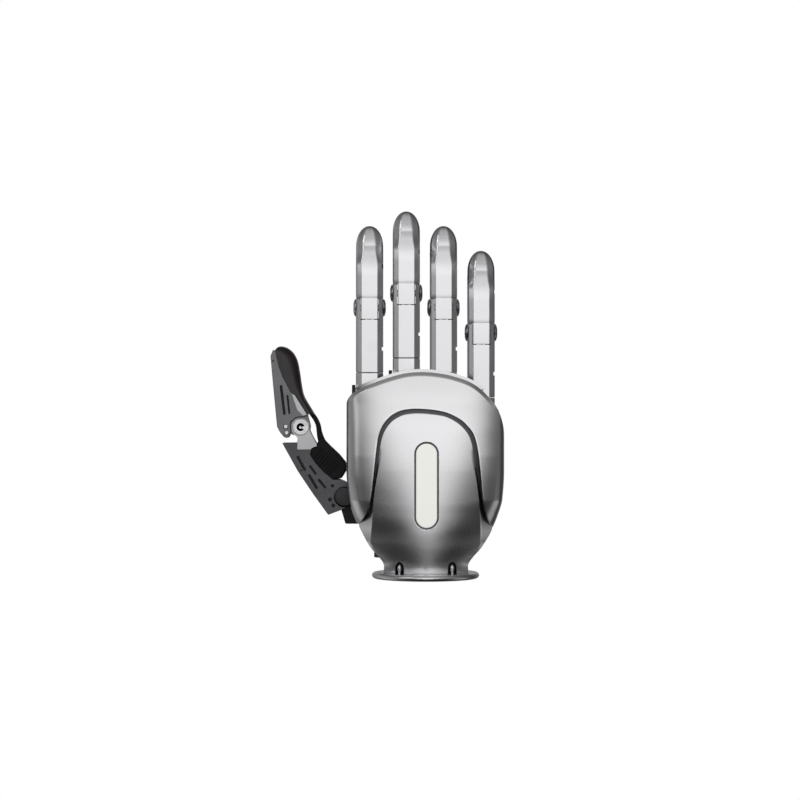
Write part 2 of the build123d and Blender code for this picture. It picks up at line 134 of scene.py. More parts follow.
@dataclass(frozen=True)
class Finish:
    """A surface finish: two close shades, a roughness that varies, and a fine relief."""

    name: str
    light: str
    dark: str
    metallic: float = 0.0
    roughness: float = 0.4
    spread: float = 0.06
    patch_scale: float = 60.0
    grain_scale: float = 2600.0
    grain_depth: float = 0.00001
    grain_stretch: Point3 = (1.0, 1.0, 1.0)
    coat: float = 0.0
    specular: float = 0.5
    anisotropic: float = 0.0
    glow: float = 0.0
    scatter: float = 0.0
    speck: float = 0.0

    def material(self) -> bpy.types.Material:
        """Builds the node material once and hands it back afterwards.

        Returns:
            The material.
        """
        found = bpy.data.materials.get(f"hand_{self.name}")
        if found:
            return found
        mat = bpy.data.materials.new(f"hand_{self.name}")
        mat.use_nodes = True
        tree = mat.node_tree
        tree.nodes.clear()
        link = tree.links.new
        out = add_node(tree, "ShaderNodeOutputMaterial")
        shader = add_node(
            tree,
            "ShaderNodeBsdfPrincipled",
            values={
                "Metallic": self.metallic,
                "Coat Weight": self.coat,
                "Coat Roughness": 0.12,
                "Specular IOR Level": self.specular,
                "Anisotropic": self.anisotropic,
                "Emission Strength": self.glow,
                "Emission Color": srgb(self.light),
                "Subsurface Weight": self.scatter,
                "Subsurface Scale": 0.002,
            },
        )
        link(shader.outputs[0], out.inputs[0])
        coords = add_node(tree, "ShaderNodeTexCoord")
        stretch = add_node(tree, "ShaderNodeMapping", values={"Scale": self.grain_stretch})
        link(coords.outputs["Object"], stretch.inputs["Vector"])

        patches = add_node(
            tree,
            "ShaderNodeTexNoise",
            values={"Scale": self.patch_scale, "Detail": 3.0, "Roughness": 0.55},
        )
        link(coords.outputs["Object"], patches.inputs["Vector"])
        grain = add_node(
            tree,
            "ShaderNodeTexNoise",
            values={"Scale": self.grain_scale, "Detail": 2.0, "Roughness": 0.6},
        )
        link(stretch.outputs["Vector"], grain.inputs["Vector"])

        shade = add_node(tree, "ShaderNodeMix", {"data_type": "RGBA"})
        shade.inputs["A"].default_value = srgb(self.dark)
        shade.inputs["B"].default_value = srgb(self.light)
        blend = add_node(
            tree, "ShaderNodeMapRange", values={"From Min": 0.36, "From Max": 0.62}
        )
        link(patches.outputs["Fac"], blend.inputs["Value"])
        link(blend.outputs["Result"], shade.inputs["Factor"])
        colour = shade.outputs["Result"]
        if self.speck > 0:
            dots = add_node(
                tree, "ShaderNodeMapRange", values={"From Min": 0.58, "From Max": 0.72}
            )
            link(grain.outputs["Fac"], dots.inputs["Value"])
            over = add_node(tree, "ShaderNodeMix", {"data_type": "RGBA", "blend_type": "MULTIPLY"})
            low = 1.0 - self.speck
            over.inputs["B"].default_value = (low, low, low, 1.0)
            link(dots.outputs["Result"], over.inputs["Factor"])
            link(colour, over.inputs["A"])
            colour = over.outputs["Result"]
        link(colour, shader.inputs["Base Color"])

        rough = add_node(
            tree,
            "ShaderNodeMapRange",
            values={
                "From Min": 0.3,
                "From Max": 0.7,
                "To Min": max(self.roughness - self.spread, 0.02),
                "To Max": min(self.roughness + self.spread, 1.0),
            },
        )
        link(patches.outputs["Fac"], rough.inputs["Value"])
        link(rough.outputs["Result"], shader.inputs["Roughness"])

        bump = add_node(
            tree,
            "ShaderNodeBump",
            values={"Strength": 0.6, "Distance": self.grain_depth},
        )
        link(grain.outputs["Fac"], bump.inputs["Height"])
        link(bump.outputs["Normal"], shader.inputs["Normal"])
        return mat


SATIN_SHELL = Finish(
    "satin_shell", "E6E6E7", "E0E0E2", metallic=1.0, roughness=0.27, spread=0.02,
    patch_scale=35.0, grain_scale=3200.0, grain_depth=0.0000004,
)
SATIN_FINGER = Finish(
    "satin_finger", "E4E4E6", "D9D9DC", metallic=1.0, roughness=0.24, spread=0.03,
    patch_scale=50.0, grain_scale=3000.0, grain_depth=0.0000005, grain_stretch=(1.0, 1.0, 0.25),
)
DARK_GUNMETAL = Finish(
    "dark_gunmetal", "68686B", "58585B", metallic=0.9, roughness=0.36, spread=0.05,
    patch_scale=90.0, grain_scale=2600.0, grain_depth=0.000006, speck=0.1,
)
GUNMETAL = Finish(
    "gunmetal", "848487", "727276", metallic=0.9, roughness=0.34, spread=0.05,
    patch_scale=90.0, grain_scale=2600.0, grain_depth=0.000006, speck=0.1,
)
# Bright metal of the thumb's neck, also used for flat plates that paint a highlight along the
# second link's edge.
NECK_METAL_AND_PAINTED_HIGHLIGHT = Finish(
    "neck_metal_and_painted_highlight", "C4C4C6", "B2B2B5", metallic=1.0, roughness=0.3, spread=0.04,
    grain_scale=2200.0, grain_depth=0.000004,
)
STEEL = Finish(
    "turned_steel", "D2D2D4", "C2C2C5", metallic=1.0, roughness=0.2, spread=0.06,
    grain_scale=1800.0, grain_depth=0.000004,
)
DARK_STEEL = Finish(
    "dark_steel", "4A4A4C", "3A3A3C", metallic=0.9, roughness=0.35, spread=0.06,
    grain_depth=0.000004,
)
MOULDED = Finish(
    "moulded_polymer", "2A2A2C", "222224", roughness=0.55, spread=0.06,
    grain_scale=1400.0, grain_depth=0.00003,
)
# Black polymer of the thumb yoke, also the painted shade in the thumb slots and the screw pockets.
BLACK_POLYMER_AND_PAINTED_SHADE = Finish(
    "black_polymer_and_painted_shade", "121214", "0C0C0E", roughness=0.5, spread=0.08,
    grain_scale=1500.0, grain_depth=0.00002,
)
GROOVE_SEAL = Finish(
    "groove_seal", "77777A", "6A6A6D", metallic=0.8, roughness=0.5, spread=0.05,
    grain_scale=1200.0, grain_depth=0.00001,
)
BLACK_RUBBER = Finish(
    "black_rubber", "161617", "0F0F10", roughness=0.62, spread=0.08,
    patch_scale=120.0, grain_scale=1100.0, grain_depth=0.00004, specular=0.4,
)
TIP_RUBBER = Finish(
    "tip_rubber", "33292B", "281F22", roughness=0.3, spread=0.07,
    patch_scale=80.0, grain_scale=1300.0, grain_depth=0.00002, specular=0.5,
)
FINGER_RUBBER = Finish(
    "finger_rubber", "2A2A2C", "202022", roughness=0.58, spread=0.07,
    grain_scale=1200.0, grain_depth=0.00003,
)
OPAL = Finish(
    "opal_lens", "EDEDE8", "E4E3DC", roughness=0.25, spread=0.03, patch_scale=18.0,
    grain_depth=0.000001, coat=0.5, glow=0.62,
)
CIRCUIT = Finish(
    "circuit_mask", "1E5A34", "174829", roughness=0.35, spread=0.08,
    patch_scale=500.0, grain_scale=900.0, grain_depth=0.00003, coat=0.4,
)


# ------------------------------------------------------------------------- mesh tools


def smooth_curve(points: Sequence[Point2], count: int, closed: bool = False) -> list[Point2]:
    """Runs a smooth curve through points and samples it at even spacing.

    Args:
        points: The points it passes through.
        count: How many samples to return.
        closed: Whether the last point joins the first.

    Returns:
        The samples.
    """
    pts = list(points)
    n = len(pts)
    dense: list[Point2] = []
    spans = n if closed else n - 1
    for i in range(spans):
        p1, p2 = pts[i], pts[(i + 1) % n]
        p0 = pts[(i - 1) % n] if closed or i > 0 else p1
        p3 = pts[(i + 2) % n] if closed or i + 2 < n else p2
        for k in range(16):
            t = k / 16
            a, b = t * t, t * t * t
            dense.append(
                tuple(
                    0.5
                    * (
                        2 * p1[c]
                        + (p2[c] - p0[c]) * t
                        + (2 * p0[c] - 5 * p1[c] + 4 * p2[c] - p3[c]) * a
                        + (3 * p1[c] - p0[c] - 3 * p2[c] + p3[c]) * b
                    )
                    for c in (0, 1)
                )
            )
    dense.append(pts[0] if closed else pts[-1])
    lengths = [0.0]
    for a, b in zip(dense, dense[1:]):
        lengths.append(lengths[-1] + math.dist(a, b))
    out: list[Point2] = []
    j = 0
    last = count if closed else count - 1
    for i in range(count):
        target = lengths[-1] * i / last
        while j < len(lengths) - 2 and lengths[j + 1] < target:
            j += 1
        gap = lengths[j + 1] - lengths[j]
        t = (target - lengths[j]) / gap if gap > 0 else 0.0
        a, b = dense[j], dense[j + 1]
        out.append((a[0] + (b[0] - a[0]) * t, a[1] + (b[1] - a[1]) * t))
    return out


def table_value(rows: Sequence[Sequence[float]], key: float, column: int) -> float:
    """Reads a smooth table at a height.

    Args:
        rows: Rows whose first value is the height, in rising order.
        key: The height to read at.
        column: The column to read.

    Returns:
        The interpolated value.
    """
    if key <= rows[0][0]:
        return rows[0][column]
    if key >= rows[-1][0]:
        return rows[-1][column]
    i = max(k for k in range(len(rows) - 1) if rows[k][0] <= key)
    a, b = rows[i], rows[i + 1]
    h = b[0] - a[0]
    t = (key - a[0]) / h

    def slope(k: int) -> float:
        """Slope of the table at a row.

        Args:
            k: Number of the point.

        Returns:
            The slope there.
        """
        if k <= 0 or k >= len(rows) - 1:
            return 0.0 if k <= 0 else (rows[-1][column] - rows[-2][column]) / (
                rows[-1][0] - rows[-2][0]
            )
        lo, mid, hi = rows[k - 1], rows[k], rows[k + 1]
        s0 = (mid[column] - lo[column]) / (mid[0] - lo[0])
        s1 = (hi[column] - mid[column]) / (hi[0] - mid[0])
        return 0.0 if s0 * s1 <= 0 else 2 * s0 * s1 / (s0 + s1)

    m0, m1 = slope(i) * h, slope(i + 1) * h
    t2, t3 = t * t, t * t * t
    return (
        (2 * t3 - 3 * t2 + 1) * a[column]
        + (t3 - 2 * t2 + t) * m0
        + (-2 * t3 + 3 * t2) * b[column]
        + (t3 - t2) * m1
    )


def rounded(points: Sequence[Point2], radii: Sequence[float], steps: int = 5) -> list[Point2]:
    """Rounds the corners of a polygon.

    Args:
        points: The corners in order.
        radii: A radius for each corner.
        steps: How many pieces each arc has.

    Returns:
        The rounded outline.
    """
    out: list[Point2] = []
    n = len(points)
    for i, (p, r) in enumerate(zip(points, radii)):
        here = Vector((p[0], p[1]))
        back = Vector(points[i - 1]) - here
        ahead = Vector(points[(i + 1) % n]) - here
        turn = back.angle(ahead)
        if r <= 0 or turn > math.pi - 0.01:
            out.append(p)
            continue
        run = min(r / math.tan(turn / 2), back.length * 0.49, ahead.length * 0.49)
        a = here + back.normalized() * run
        b = here + ahead.normalized() * run
        for k in range(steps + 1):
            t = k / steps
            q = (1 - t) ** 2 * a + 2 * t * (1 - t) * here + t * t * b
            out.append((q.x, q.y))
    return out


def circle(x: float, z: float, r: float, steps: int = 40) -> list[Point2]:
    """Points round a circle.

    Args:
        x: Centre, first direction.
        z: Centre, second direction.
        r: Radius.
        steps: How many points.

    Returns:
        The points.
    """
    return [
        (x + r * math.cos(2 * math.pi * i / steps), z + r * math.sin(2 * math.pi * i / steps))
        for i in range(steps)
    ]


def slot_outline(a: Point2, b: Point2, width: float, steps: int = 8) -> list[Point2]:
    """A slot with round ends between two points.

    Args:
        a: Centre of the first end.
        b: Centre of the second end.
        width: Width of the slot.
        steps: Pieces in each round end.

    Returns:
        The outline.
    """
    turn = math.atan2(b[1] - a[1], b[0] - a[0])
    out = []
    for centre, start in ((b, turn - math.pi / 2), (a, turn + math.pi / 2)):
        for k in range(steps + 1):
            t = start + math.pi * k / steps
            out.append((centre[0] + width / 2 * math.cos(t), centre[1] + width / 2 * math.sin(t)))
    return out


def new_object(name: str, verts: Iterable[Sequence[float]],
               faces: Iterable[Sequence[int]]) -> bpy.types.Object:
    """Makes an object from corners in millimetres.

    Args:
        name: The object's name.
        verts: Corners in millimetres.
        faces: Corner numbers of each face.

    Returns:
        The object, linked to the scene.
    """
    mesh = bpy.data.meshes.new(name)
    mesh.from_pydata([Vector(v) * MM for v in verts], [], [list(f) for f in faces])
    mesh.validate()
    obj = bpy.data.objects.new(name, mesh)
    bpy.context.scene.collection.objects.link(obj)
    return obj


def recalculate(obj: bpy.types.Object, merge: float = 0.00001) -> bpy.types.Object:
    """Merges doubles and points every face outwards.

    Args:
        obj: The object to clean.
        merge: Corners closer than this, in metres, become one.

    Returns:
        The same object.
    """
    work = bmesh.new()
    work.from_mesh(obj.data)
    bmesh.ops.remove_doubles(work, verts=work.verts, dist=merge)
    bmesh.ops.dissolve_degenerate(work, edges=work.edges, dist=merge / 10)
    bmesh.ops.recalc_face_normals(work, faces=work.faces)
    work.to_mesh(obj.data)
    work.free()
    return obj


def loft(name: str, rings: Sequence[Sequence[Point3]]) -> bpy.types.Object:
    """Skins closed rings and closes both ends.

    Args:
        name: The object's name.
        rings: Rings with the same number of points.

    Returns:
        The closed object.
    """
    n = len(rings[0])
    verts = [p for ring in rings for p in ring]
    faces = []
    for i in range(len(rings) - 1):
        for j in range(n):
            k = (j + 1) % n
            faces.append((i * n + j, i * n + k, (i + 1) * n + k, (i + 1) * n + j))
    faces.append(tuple(range(n - 1, -1, -1)))
    faces.append(tuple((len(rings) - 1) * n + j for j in range(n)))
    return recalculate(new_object(name, verts, faces))


def push(name: str, outline: Sequence[Point2], axis: Axis, a: float,
         b: float) -> bpy.types.Object:
    """Pushes an outline along an axis.

    Args:
        name: The object's name.
        outline: Points in the plane normal to the axis, in the order of the other two axes.
        axis: The direction.
        a: Where it starts.
        b: Where it ends.

    Returns:
        The closed object.
    """

    def place(p: Point2, t: float) -> Point3:
        """Puts a flat point at a distance along the axis.

        Args:
            p: The flat point.
            t: Distance along the axis.

        Returns:
            The point in space.
        """
        return {
            Axis.X: (t, p[0], p[1]),
            Axis.Y: (p[0], t, p[1]),
            Axis.Z: (p[0], p[1], t),
        }[axis]

    return loft(name, [[place(p, a) for p in outline], [place(p, b) for p in outline]])


def block(name: str, low: Point3, high: Point3) -> bpy.types.Object:
    """An upright block between two corners, used to cut with."""
    outline = [(low[0], low[1]), (high[0], low[1]), (high[0], high[1]), (low[0], high[1])]
    return push(name, outline, Axis.Z, low[2], high[2])


def turned(name: str, profile: Sequence[Point2], axis: Axis, centre: Point3,
           steps: int = 48) -> bpy.types.Object:
    """Turns a profile about an axis.

    Args:
        name: The object's name.
        profile: Radius and distance along the axis, from one end to the other.
        axis: The axis it is turned about.
        centre: A point on the axis.
        steps: How many pieces go round.

    Returns:
        The closed object.
    """
    rings = []
    for r, t in profile:
        ring = []
        for i in range(steps):
            a = 2 * math.pi * i / steps
            u, v = max(r, 0.01) * math.cos(a), max(r, 0.01) * math.sin(a)
            flat = {Axis.X: (t, u, v), Axis.Y: (u, t, v), Axis.Z: (u, v, t)}[axis]
            ring.append(tuple(c + f for c, f in zip(centre, flat)))
        rings.append(ring)
    return loft(name, rings)


def settle(obj: bpy.types.Object) -> bpy.types.Object:
    """Turns an object's modifiers into plain mesh and removes them.

    Args:
        obj: The object with modifiers.

    Returns:
        The same object.
    """
    bpy.context.view_layer.update()
    graph = bpy.context.evaluated_depsgraph_get()
    mesh = bpy.data.meshes.new_from_object(obj.evaluated_get(graph))
    obj.modifiers.clear()
    obj.data = mesh
    return obj


class Cut(Enum):
    """How a second shape is combined with the first."""

    TAKE = "DIFFERENCE"
    JOIN = "UNION"
    KEEP = "INTERSECT"


def combine(obj: bpy.types.Object, others: Sequence[bpy.types.Object],
            how: Cut = Cut.TAKE) -> bpy.types.Object:
    """Cuts, joins or keeps the common part with other shapes, which are used up.

    Args:
        obj: The shape to change.
        others: The shapes to combine it with.
        how: The kind of combination.

    Returns:
        The changed object.
    """
    for other in others:
        mod = obj.modifiers.new("combine", "BOOLEAN")
        mod.operation = how.value
        mod.solver = "EXACT"
        mod.object = other
        settle(obj)
        bpy.data.objects.remove(other)
    return recalculate(obj, 0.000004)


def soften(obj: bpy.types.Object, width: float, segments: int = 3,
           angle: float = 40.0) -> bpy.types.Object:
    """Rounds sharp edges.

    Args:
        obj: The object.
        width: Width of the rounding in millimetres.
        segments: Pieces across the rounding.
        angle: Edges sharper than this many degrees are rounded.

    Returns:
        The object.
    """
    mod = obj.modifiers.new("soften", "BEVEL")
    mod.width = width * MM
    mod.segments = segments
    mod.limit_method = "ANGLE"
    mod.angle_limit = math.radians(angle)
    mod.use_clamp_overlap = True
    return settle(obj)


def shade(obj: bpy.types.Object, angle: float = 35.0) -> bpy.types.Object:
    """Shades smooth, apart from edges sharper than an angle in degrees.

    Args:
        obj: The object.
        angle: Edges sharper than this many degrees stay sharp.

    Returns:
        The same object.
    """
    mesh = obj.data
    mesh.polygons.foreach_set("use_smooth", [True] * len(mesh.polygons))
    mesh.set_sharp_from_angle(angle=math.radians(angle))
    mesh.update()
    mod = obj.modifiers.new("even", "WEIGHTED_NORMAL")
    mod.keep_sharp = True
    mod.weight = 60
    return settle(obj)


def sheet(name: str, grid: Sequence[Sequence[Point3]], wall: float) -> bpy.types.Object:
    """Makes a grid of points into a shell with a wall behind it.

    Args:
        name: The object's name.
        grid: Rows of points on the visible side.
        wall: Thickness of the wall in millimetres.

    Returns:
        The closed shell.
    """
    rows, cols = len(grid), len(grid[0])
    verts = [p for row in grid for p in row]
    faces = []
    for i in range(rows - 1):
        for j in range(cols - 1):
            a = i * cols + j
            faces.append((a, a + 1, a + cols + 1, a + cols))
    obj = new_object(name, verts, faces)
    work = bmesh.new()
    work.from_mesh(obj.data)
    bmesh.ops.remove_doubles(work, verts=work.verts, dist=0.000004)
    work.normal_update()
    if sum(f.normal.y * f.calc_area() for f in work.faces) > 0:
        bmesh.ops.reverse_faces(work, faces=work.faces)
    work.to_mesh(obj.data)
    work.free()
    mod = obj.modifiers.new("wall", "SOLIDIFY")
    mod.thickness = wall * MM
    mod.offset = -1.0
    mod.use_even_offset = False
    return settle(obj)


def twin_sheet(name: str, front: Sequence[Sequence[Point3]],
               back: Sequence[Sequence[Point3]]) -> bpy.types.Object:
    """Closes two grids of the same size into one shell.

    Args:
        name: The object's name.
        front: Rows of points on the visible side.
        back: Rows of points on the hidden side.

    Returns:
        The closed shell.
    """
    rows, cols = len(front), len(front[0])
    verts = [p for grid in (front, back) for row in grid for p in row]
    far = rows * cols
    faces = []
    for i in range(rows - 1):
        for j in range(cols - 1):
            a = i * cols + j
            faces.append((a, a + 1, a + cols + 1, a + cols))
            b = a + far
            faces.append((b + cols, b + cols + 1, b + 1, b))
    rim = [j for j in range(cols)] + [i * cols + cols - 1 for i in range(1, rows)]
    rim += [far - cols + j for j in range(cols - 2, -1, -1)]
    rim += [i * cols for i in range(rows - 2, 0, -1)]
    for a, b in zip(rim, rim[1:] + rim[:1]):
        faces.append((b, a, a + far, b + far))
    return recalculate(new_object(name, verts, faces))


def row_of(name: str, part: bpy.types.Object, count: int, start: Point3, step: Point3,
           finish: Finish) -> bpy.types.Object:
    """Repeats a part in a straight row with a Geometry Nodes tree.

    Args:
        name: Name of the row's object.
        part: The part to repeat, which is used up.
        count: How many there are.
        start: Place of the first one in millimetres.
        step: From one to the next in millimetres.
        finish: The finish of all of them.

    Returns:
        The row as one plain mesh.
    """
    tree = bpy.data.node_groups.new(name, "GeometryNodeTree")
    face = tree.interface
    face.new_socket("Geometry", in_out="INPUT", socket_type="NodeSocketGeometry")
    sizes = {
        "Count": ("NodeSocketInt", count),
        "Start": ("NodeSocketVector", Vector(start) * MM),
        "Step": ("NodeSocketVector", Vector(step) * MM),
    }
    for label, (kind, _) in sizes.items():
        face.new_socket(label, in_out="INPUT", socket_type=kind)
    face.new_socket("Geometry", in_out="OUTPUT", socket_type="NodeSocketGeometry")
    source = add_node(tree, "NodeGroupInput")
    result = add_node(tree, "NodeGroupOutput")
    line = add_node(tree, "GeometryNodeMeshLine")
    info = add_node(tree, "GeometryNodeObjectInfo", values={"Object": part})
    place = add_node(tree, "GeometryNodeInstanceOnPoints")
    real = add_node(tree, "GeometryNodeRealizeInstances")
    dress = add_node(tree, "GeometryNodeSetMaterial", values={"Material": finish.material()})
    link = tree.links.new
    link(source.outputs["Count"], line.inputs["Count"])
    link(source.outputs["Start"], line.inputs["Start Location"])
    link(source.outputs["Step"], line.inputs["Offset"])
    link(line.outputs["Mesh"], place.inputs["Points"])
    link(info.outputs["Geometry"], place.inputs["Instance"])
    link(place.outputs["Instances"], real.inputs["Geometry"])
    link(real.outputs["Geometry"], dress.inputs["Geometry"])
    link(dress.outputs["Geometry"], result.inputs["Geometry"])
    obj = new_object(name, [], [])
    mod = obj.modifiers.new("row", "NODES")
    mod.node_group = tree
    for item in face.items_tree:
        if item.in_out == "INPUT" and item.name in sizes:
            mod[item.identifier] = sizes[item.name][1]
    settle(obj)
    bpy.data.objects.remove(part)
    return obj


def dress(obj: bpy.types.Object, body: str, finish: Finish, slot: str,
          replaced: Sequence[str] = ()) -> bpy.types.Object:
    """Gives a finished piece its material and its body, and hides the CAD nodes it stands for.

    Args:
        obj: The piece.
        body: The CAD body it rides on.
        finish: Its finish.
        slot: The record's material slot; not used.
        replaced: CAD nodes it stands for.

    Returns:
        The piece.
    """
    obj.data.materials.clear()
    obj.data.materials.append(finish.material())
    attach(obj, body)
    if replaced:
        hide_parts(*replaced)
    log.info("%s: %d faces on %s", obj.name, len(obj.data.polygons), body)
    return obj


def moved_copy(obj: bpy.types.Object, name: str, x: float, z: float) -> bpy.types.Object:
    """Copies a module piece to its finger, with its place in its mesh.

    Args:
        obj: The master piece.
        name: Name of the copy.
        x: Across the hand in millimetres.
        z: Up the hand in millimetres.

    Returns:
        The copy.
    """
    mesh = obj.data.copy()
    mesh.transform(Matrix.Translation((x * MM, 0.0, z * MM)))
    copy = bpy.data.objects.new(name, mesh)
    bpy.context.scene.collection.objects.link(copy)
    return copy


def joint_place(frame: dict, name: str) -> Point2:
    """Where a joint's anchor is, seen from the back of the hand.

    Args:
        name: The joint's name.

    Returns:
        X and Z in millimetres.
    """
    joint = next(j for j in frame["joints"] if j["name"] == name)
    return round(joint["pos_m"][0] / MM, 4), round(joint["pos_m"][2] / MM, 4)


# ----------------------------------------------------------------------------- fingers


@dataclass
class FingerModule:
    """One finger module, built once about its knuckle axis and copied four times."""

    places: dict[str, Point2]
    half: float = 7.35
    depth: float = 7.5
    link: float = 45.2
    tip: float = 44.2
    dome: float = 10.8
    flat: float = 4.3
    cheek: float = 4.95
    slot_half: float = 2.6
    pin_y: float = 3.39
    ring_count: int = 72

    def section(self, z: float, pts: Sequence[Point2], radii: Sequence[float],
                round_share: float, size: Point2, shift: float) -> list[Point3]:
        """One ring of a link.

        Args:
            z: Height of the ring.
            pts: Corners of the section.
            radii: Corner radii.
            round_share: 0 keeps the corners, 1 makes an ellipse.
            size: Half width and half depth of the ellipse.
            shift: How far the ring moves towards the palm.

        Returns:
            The points of the ring.
        """
        out = []
        for x, y in rounded(pts, radii):
            a = math.atan2(y / self.depth, x / self.half)
            ex, ey = size[0] * math.cos(a), size[1] * math.sin(a)
            sx, sy = x * size[0] / self.half, y * size[1] / self.depth
            out.append(
                (sx + (ex - sx) * round_share, sy + (ey - sy) * round_share + shift, z)
            )
        return out

    def corners(self, scoop: float) -> tuple[list[Point2], list[float]]:
        """Corners of the section, with side facets that deepen towards the tip.

        Args:
            scoop: 0 for the plain link, 1 for the deepest facet.

        Returns:
            The corners and their radii.
        """
        w, d = self.half, self.depth
        flat = self.flat - 0.75 * scoop
        fx, fy = w - 0.5 - 0.4 * scoop, -6.1 + 2.3 * scoop
        low = -3.9 + 2.2 * scoop
        half = [(flat, -d), (fx, fy), (w, low), (w, 4.4), (w - 3.0, d)]
        pts = [(-flat, -d)] + half + [(-x, y) for x, y in half[:0:-1]]
        r = 1.1 + 0.6 * scoop
        turn = [r, 1.0 + scoop, 1.2 + scoop, 2.4, 2.4]
        return pts, [r] + turn + turn[:0:-1]

    def straight(self, name: str, low: float, high: float) -> bpy.types.Object:
        """A straight length of link between two heights, with rolled ends.

        Args:
            name: The object's name.
            low: Where it starts.
            high: Where it ends.

        Returns:
            The closed length.
        """
        pts, radii = self.corners(0.0)
        rings = []
        for z, k in ((low, 0.965), (low + 0.1, 0.985), (low + 0.28, 1.0),
                     (high - 0.28, 1.0), (high - 0.1, 0.985), (high, 0.965)):
            rings.append(self.section(z, pts, radii, 0.0, (self.half * k, self.depth * k), 0.0))
        return loft(name, rings)

    def proximal(self) -> bpy.types.Object:
        """The first link with its two hinge ears.

        Returns:
            The link.
        """
        link, d = self.link, self.depth
        body = self.straight("proximal_master", 10.15, link + 4.6)
        ear = [(4.45, link - 7.8), (4.45, link), (3.9, link + 2.2), (2.3, link + 3.9),
               (0.0, link + 4.62), (0.0, link + 6), (d + 1, link + 6), (d + 1, link - 7.8)]
        cutters = [
            block("c", (-self.cheek, -d - 1, link - 6.75), (self.cheek, 1.0, link + 6)),
            block("c", (-self.cheek, -1, link), (self.cheek, d + 1, link + 6)),
            turned("c", [(7.05, -self.cheek), (7.05, self.cheek)], Axis.X, (0, 0, link), 64),
            push("c", ear, Axis.X, -self.half - 1, self.half + 1),
            block("c", (-self.slot_half, -5.9, 0), (self.slot_half, 6.45, link)),
            turned("c", [(1.86, -9), (1.86, 9)], Axis.X, (0, 0, link), 32),
            block("c", (6.55, -9, link - 23.2), (9, 9, link - 21.2)),
        ]
        combine(body, cutters)
        return shade(soften(body, 0.22, 2, 50.0))

    def root(self) -> bpy.types.Object:
        """The knuckle block under the first link.

        Returns:
            The root.
        """
        d = self.depth
        body = self.straight("root_master", 2.5, 9.95)
        knuckle = turned("k", [(6.9, -7.3), (7.2, -7.1), (7.3, -6.7), (7.3, 6.7), (7.2, 7.1),
                               (6.9, 7.3)], Axis.X, (0, 0, 0), 64)
        combine(body, [knuckle], Cut.JOIN)
        s = self.slot_half
        cutters = [
            block("c", (-s, -5.9, -9), (s, 6.45, 12)),
            block("c", (-s, -d - 1, -9), (s, d + 1, 2.0)),
            block("c", (-s, 0, 1.0), (s, d + 1, 6.5)),
            turned("c", [(1.96, -9), (1.96, 9)], Axis.X, (0, 0, 0), 32),
        ]
        combine(body, cutters)
        pin = turned("p", [(0.9, -4.0), (0.9, 4.0)], Axis.X, (0, -self.pin_y, -self.pin_y), 20)
        combine(body, [pin], Cut.JOIN)
        return shade(soften(body, 0.2, 2, 50.0))

    def bullet(self, name: str, grow: float = 0.0) -> bpy.types.Object:
        """The whole second link as one solid with its bullet tip.

        Args:
            name: The object's name.
            grow: Extra size all round in millimetres.

        Returns:
            The solid, with its hinge axis at the origin.
        """
        start = 4.75
        turn = self.tip - self.dome
        rings = []
        for i in range(self.ring_count + 1):
            t = i / self.ring_count
            z = start + (self.tip - start) * (1 - (1 - t) ** 1.7)
            e = max(0.0, (z - turn) / self.dome)
            f = max(0.0, (z - turn + 3.5) / (self.dome + 3.5))
            wide = math.sqrt(max(1 - e * e, 0.0004))
            deep = math.sqrt(max(1 - f ** 2.2, 0.0004))
            scoop = clamped((z - (self.tip - 22.0)) / 9.0)
            scoop = scoop * scoop * (3 - 2 * scoop)
            share = clamped((z - (self.tip - 14.5)) / 8.0)
            pts, radii = self.corners(scoop)
            roll = 0.985 if i == 0 else (0.995 if i == 1 else 1.0)
            size = (self.half * wide * roll + grow, self.depth * deep * roll + grow)
            ring = self.section(z, pts, radii, share ** 1.3, size, 0.7 * f * f)
            lean = clamped((z - (self.tip - 27.0)) / 16.0)
            lean = 0.31 * lean * lean * (2 - lean)
            rings.append([(x, y * (1 - lean) if y < 0 else y, zz) for x, y, zz in ring])
        return loft(name, rings)

    def distal(self) -> tuple[bpy.types.Object, bpy.types.Object]:
        """The second link in metal and its soft pad.

        Returns:
            The metal link with its hinge tongue, and the pad.
        """
        d = self.depth
        metal = self.bullet("distal_master")
        pad = self.bullet("pad_master")
        arch = [(3.1, 13.0)] + [(3.1, 14.0), (3.1, 46.0), (12.0, 46.0), (12.0, 13.0)]
        keep = push("c", arch, Axis.X, -9, 9)
        seat = push("c", [(y - 0.12, z - 0.12) for y, z in arch], Axis.X, -9, 9)
        notch = block("c", (6.55, -9, 21.0), (9, 9, 23.1))
        combine(metal, [seat, notch])
        combine(pad, [keep], Cut.KEEP)
        ribs = [block("c", (-9, d - 0.28, 17.0 + 2.4 * k), (9, d + 2, 17.7 + 2.4 * k))
                for k in range(8)]
        combine(pad, ribs)
        w = 4.7
        tongue = turned("t", [(6.75, -w), (6.9, -w + 0.2), (6.9, w - 0.2), (6.75, w)],
                        Axis.X, (0, 0, 0), 64)
        plate = self.straight("t", -6.5, 5.2)
        combine(plate, [block("c", (-w, -d - 1, -7), (w, -1.5, 6))], Cut.KEEP)
        web = block("t", (-w, -6.0, 1.8), (w, 5.2, 5.4))
        combine(tongue, [plate, web], Cut.JOIN)
        cutters = [
            block("c", (-2.3, -6.6, -9), (2.3, d + 1, 1.7)),
            turned("c", [(1.86, -9), (1.86, 9)], Axis.X, (0, 0, 0), 32),
        ]
        combine(tongue, cutters)
        pin = turned("p", [(0.8, -3.6), (0.8, 3.6)], Axis.X, (0, -2.97, -2.97), 20)
        combine(tongue, [pin], Cut.JOIN)
        soften(tongue, 0.2, 2, 50.0)
        work = bmesh.new()
        work.from_mesh(soften(metal, 0.18, 2, 55.0).data)
        work.from_mesh(tongue.data)
        work.to_mesh(metal.data)
        work.free()
        bpy.data.objects.remove(tongue)
        for piece in (metal, pad):
            piece.data.transform(Matrix.Translation((0, 0, self.link * MM)))
        return shade(metal, 40.0), shade(soften(pad, 0.2, 2, 50.0), 40.0)

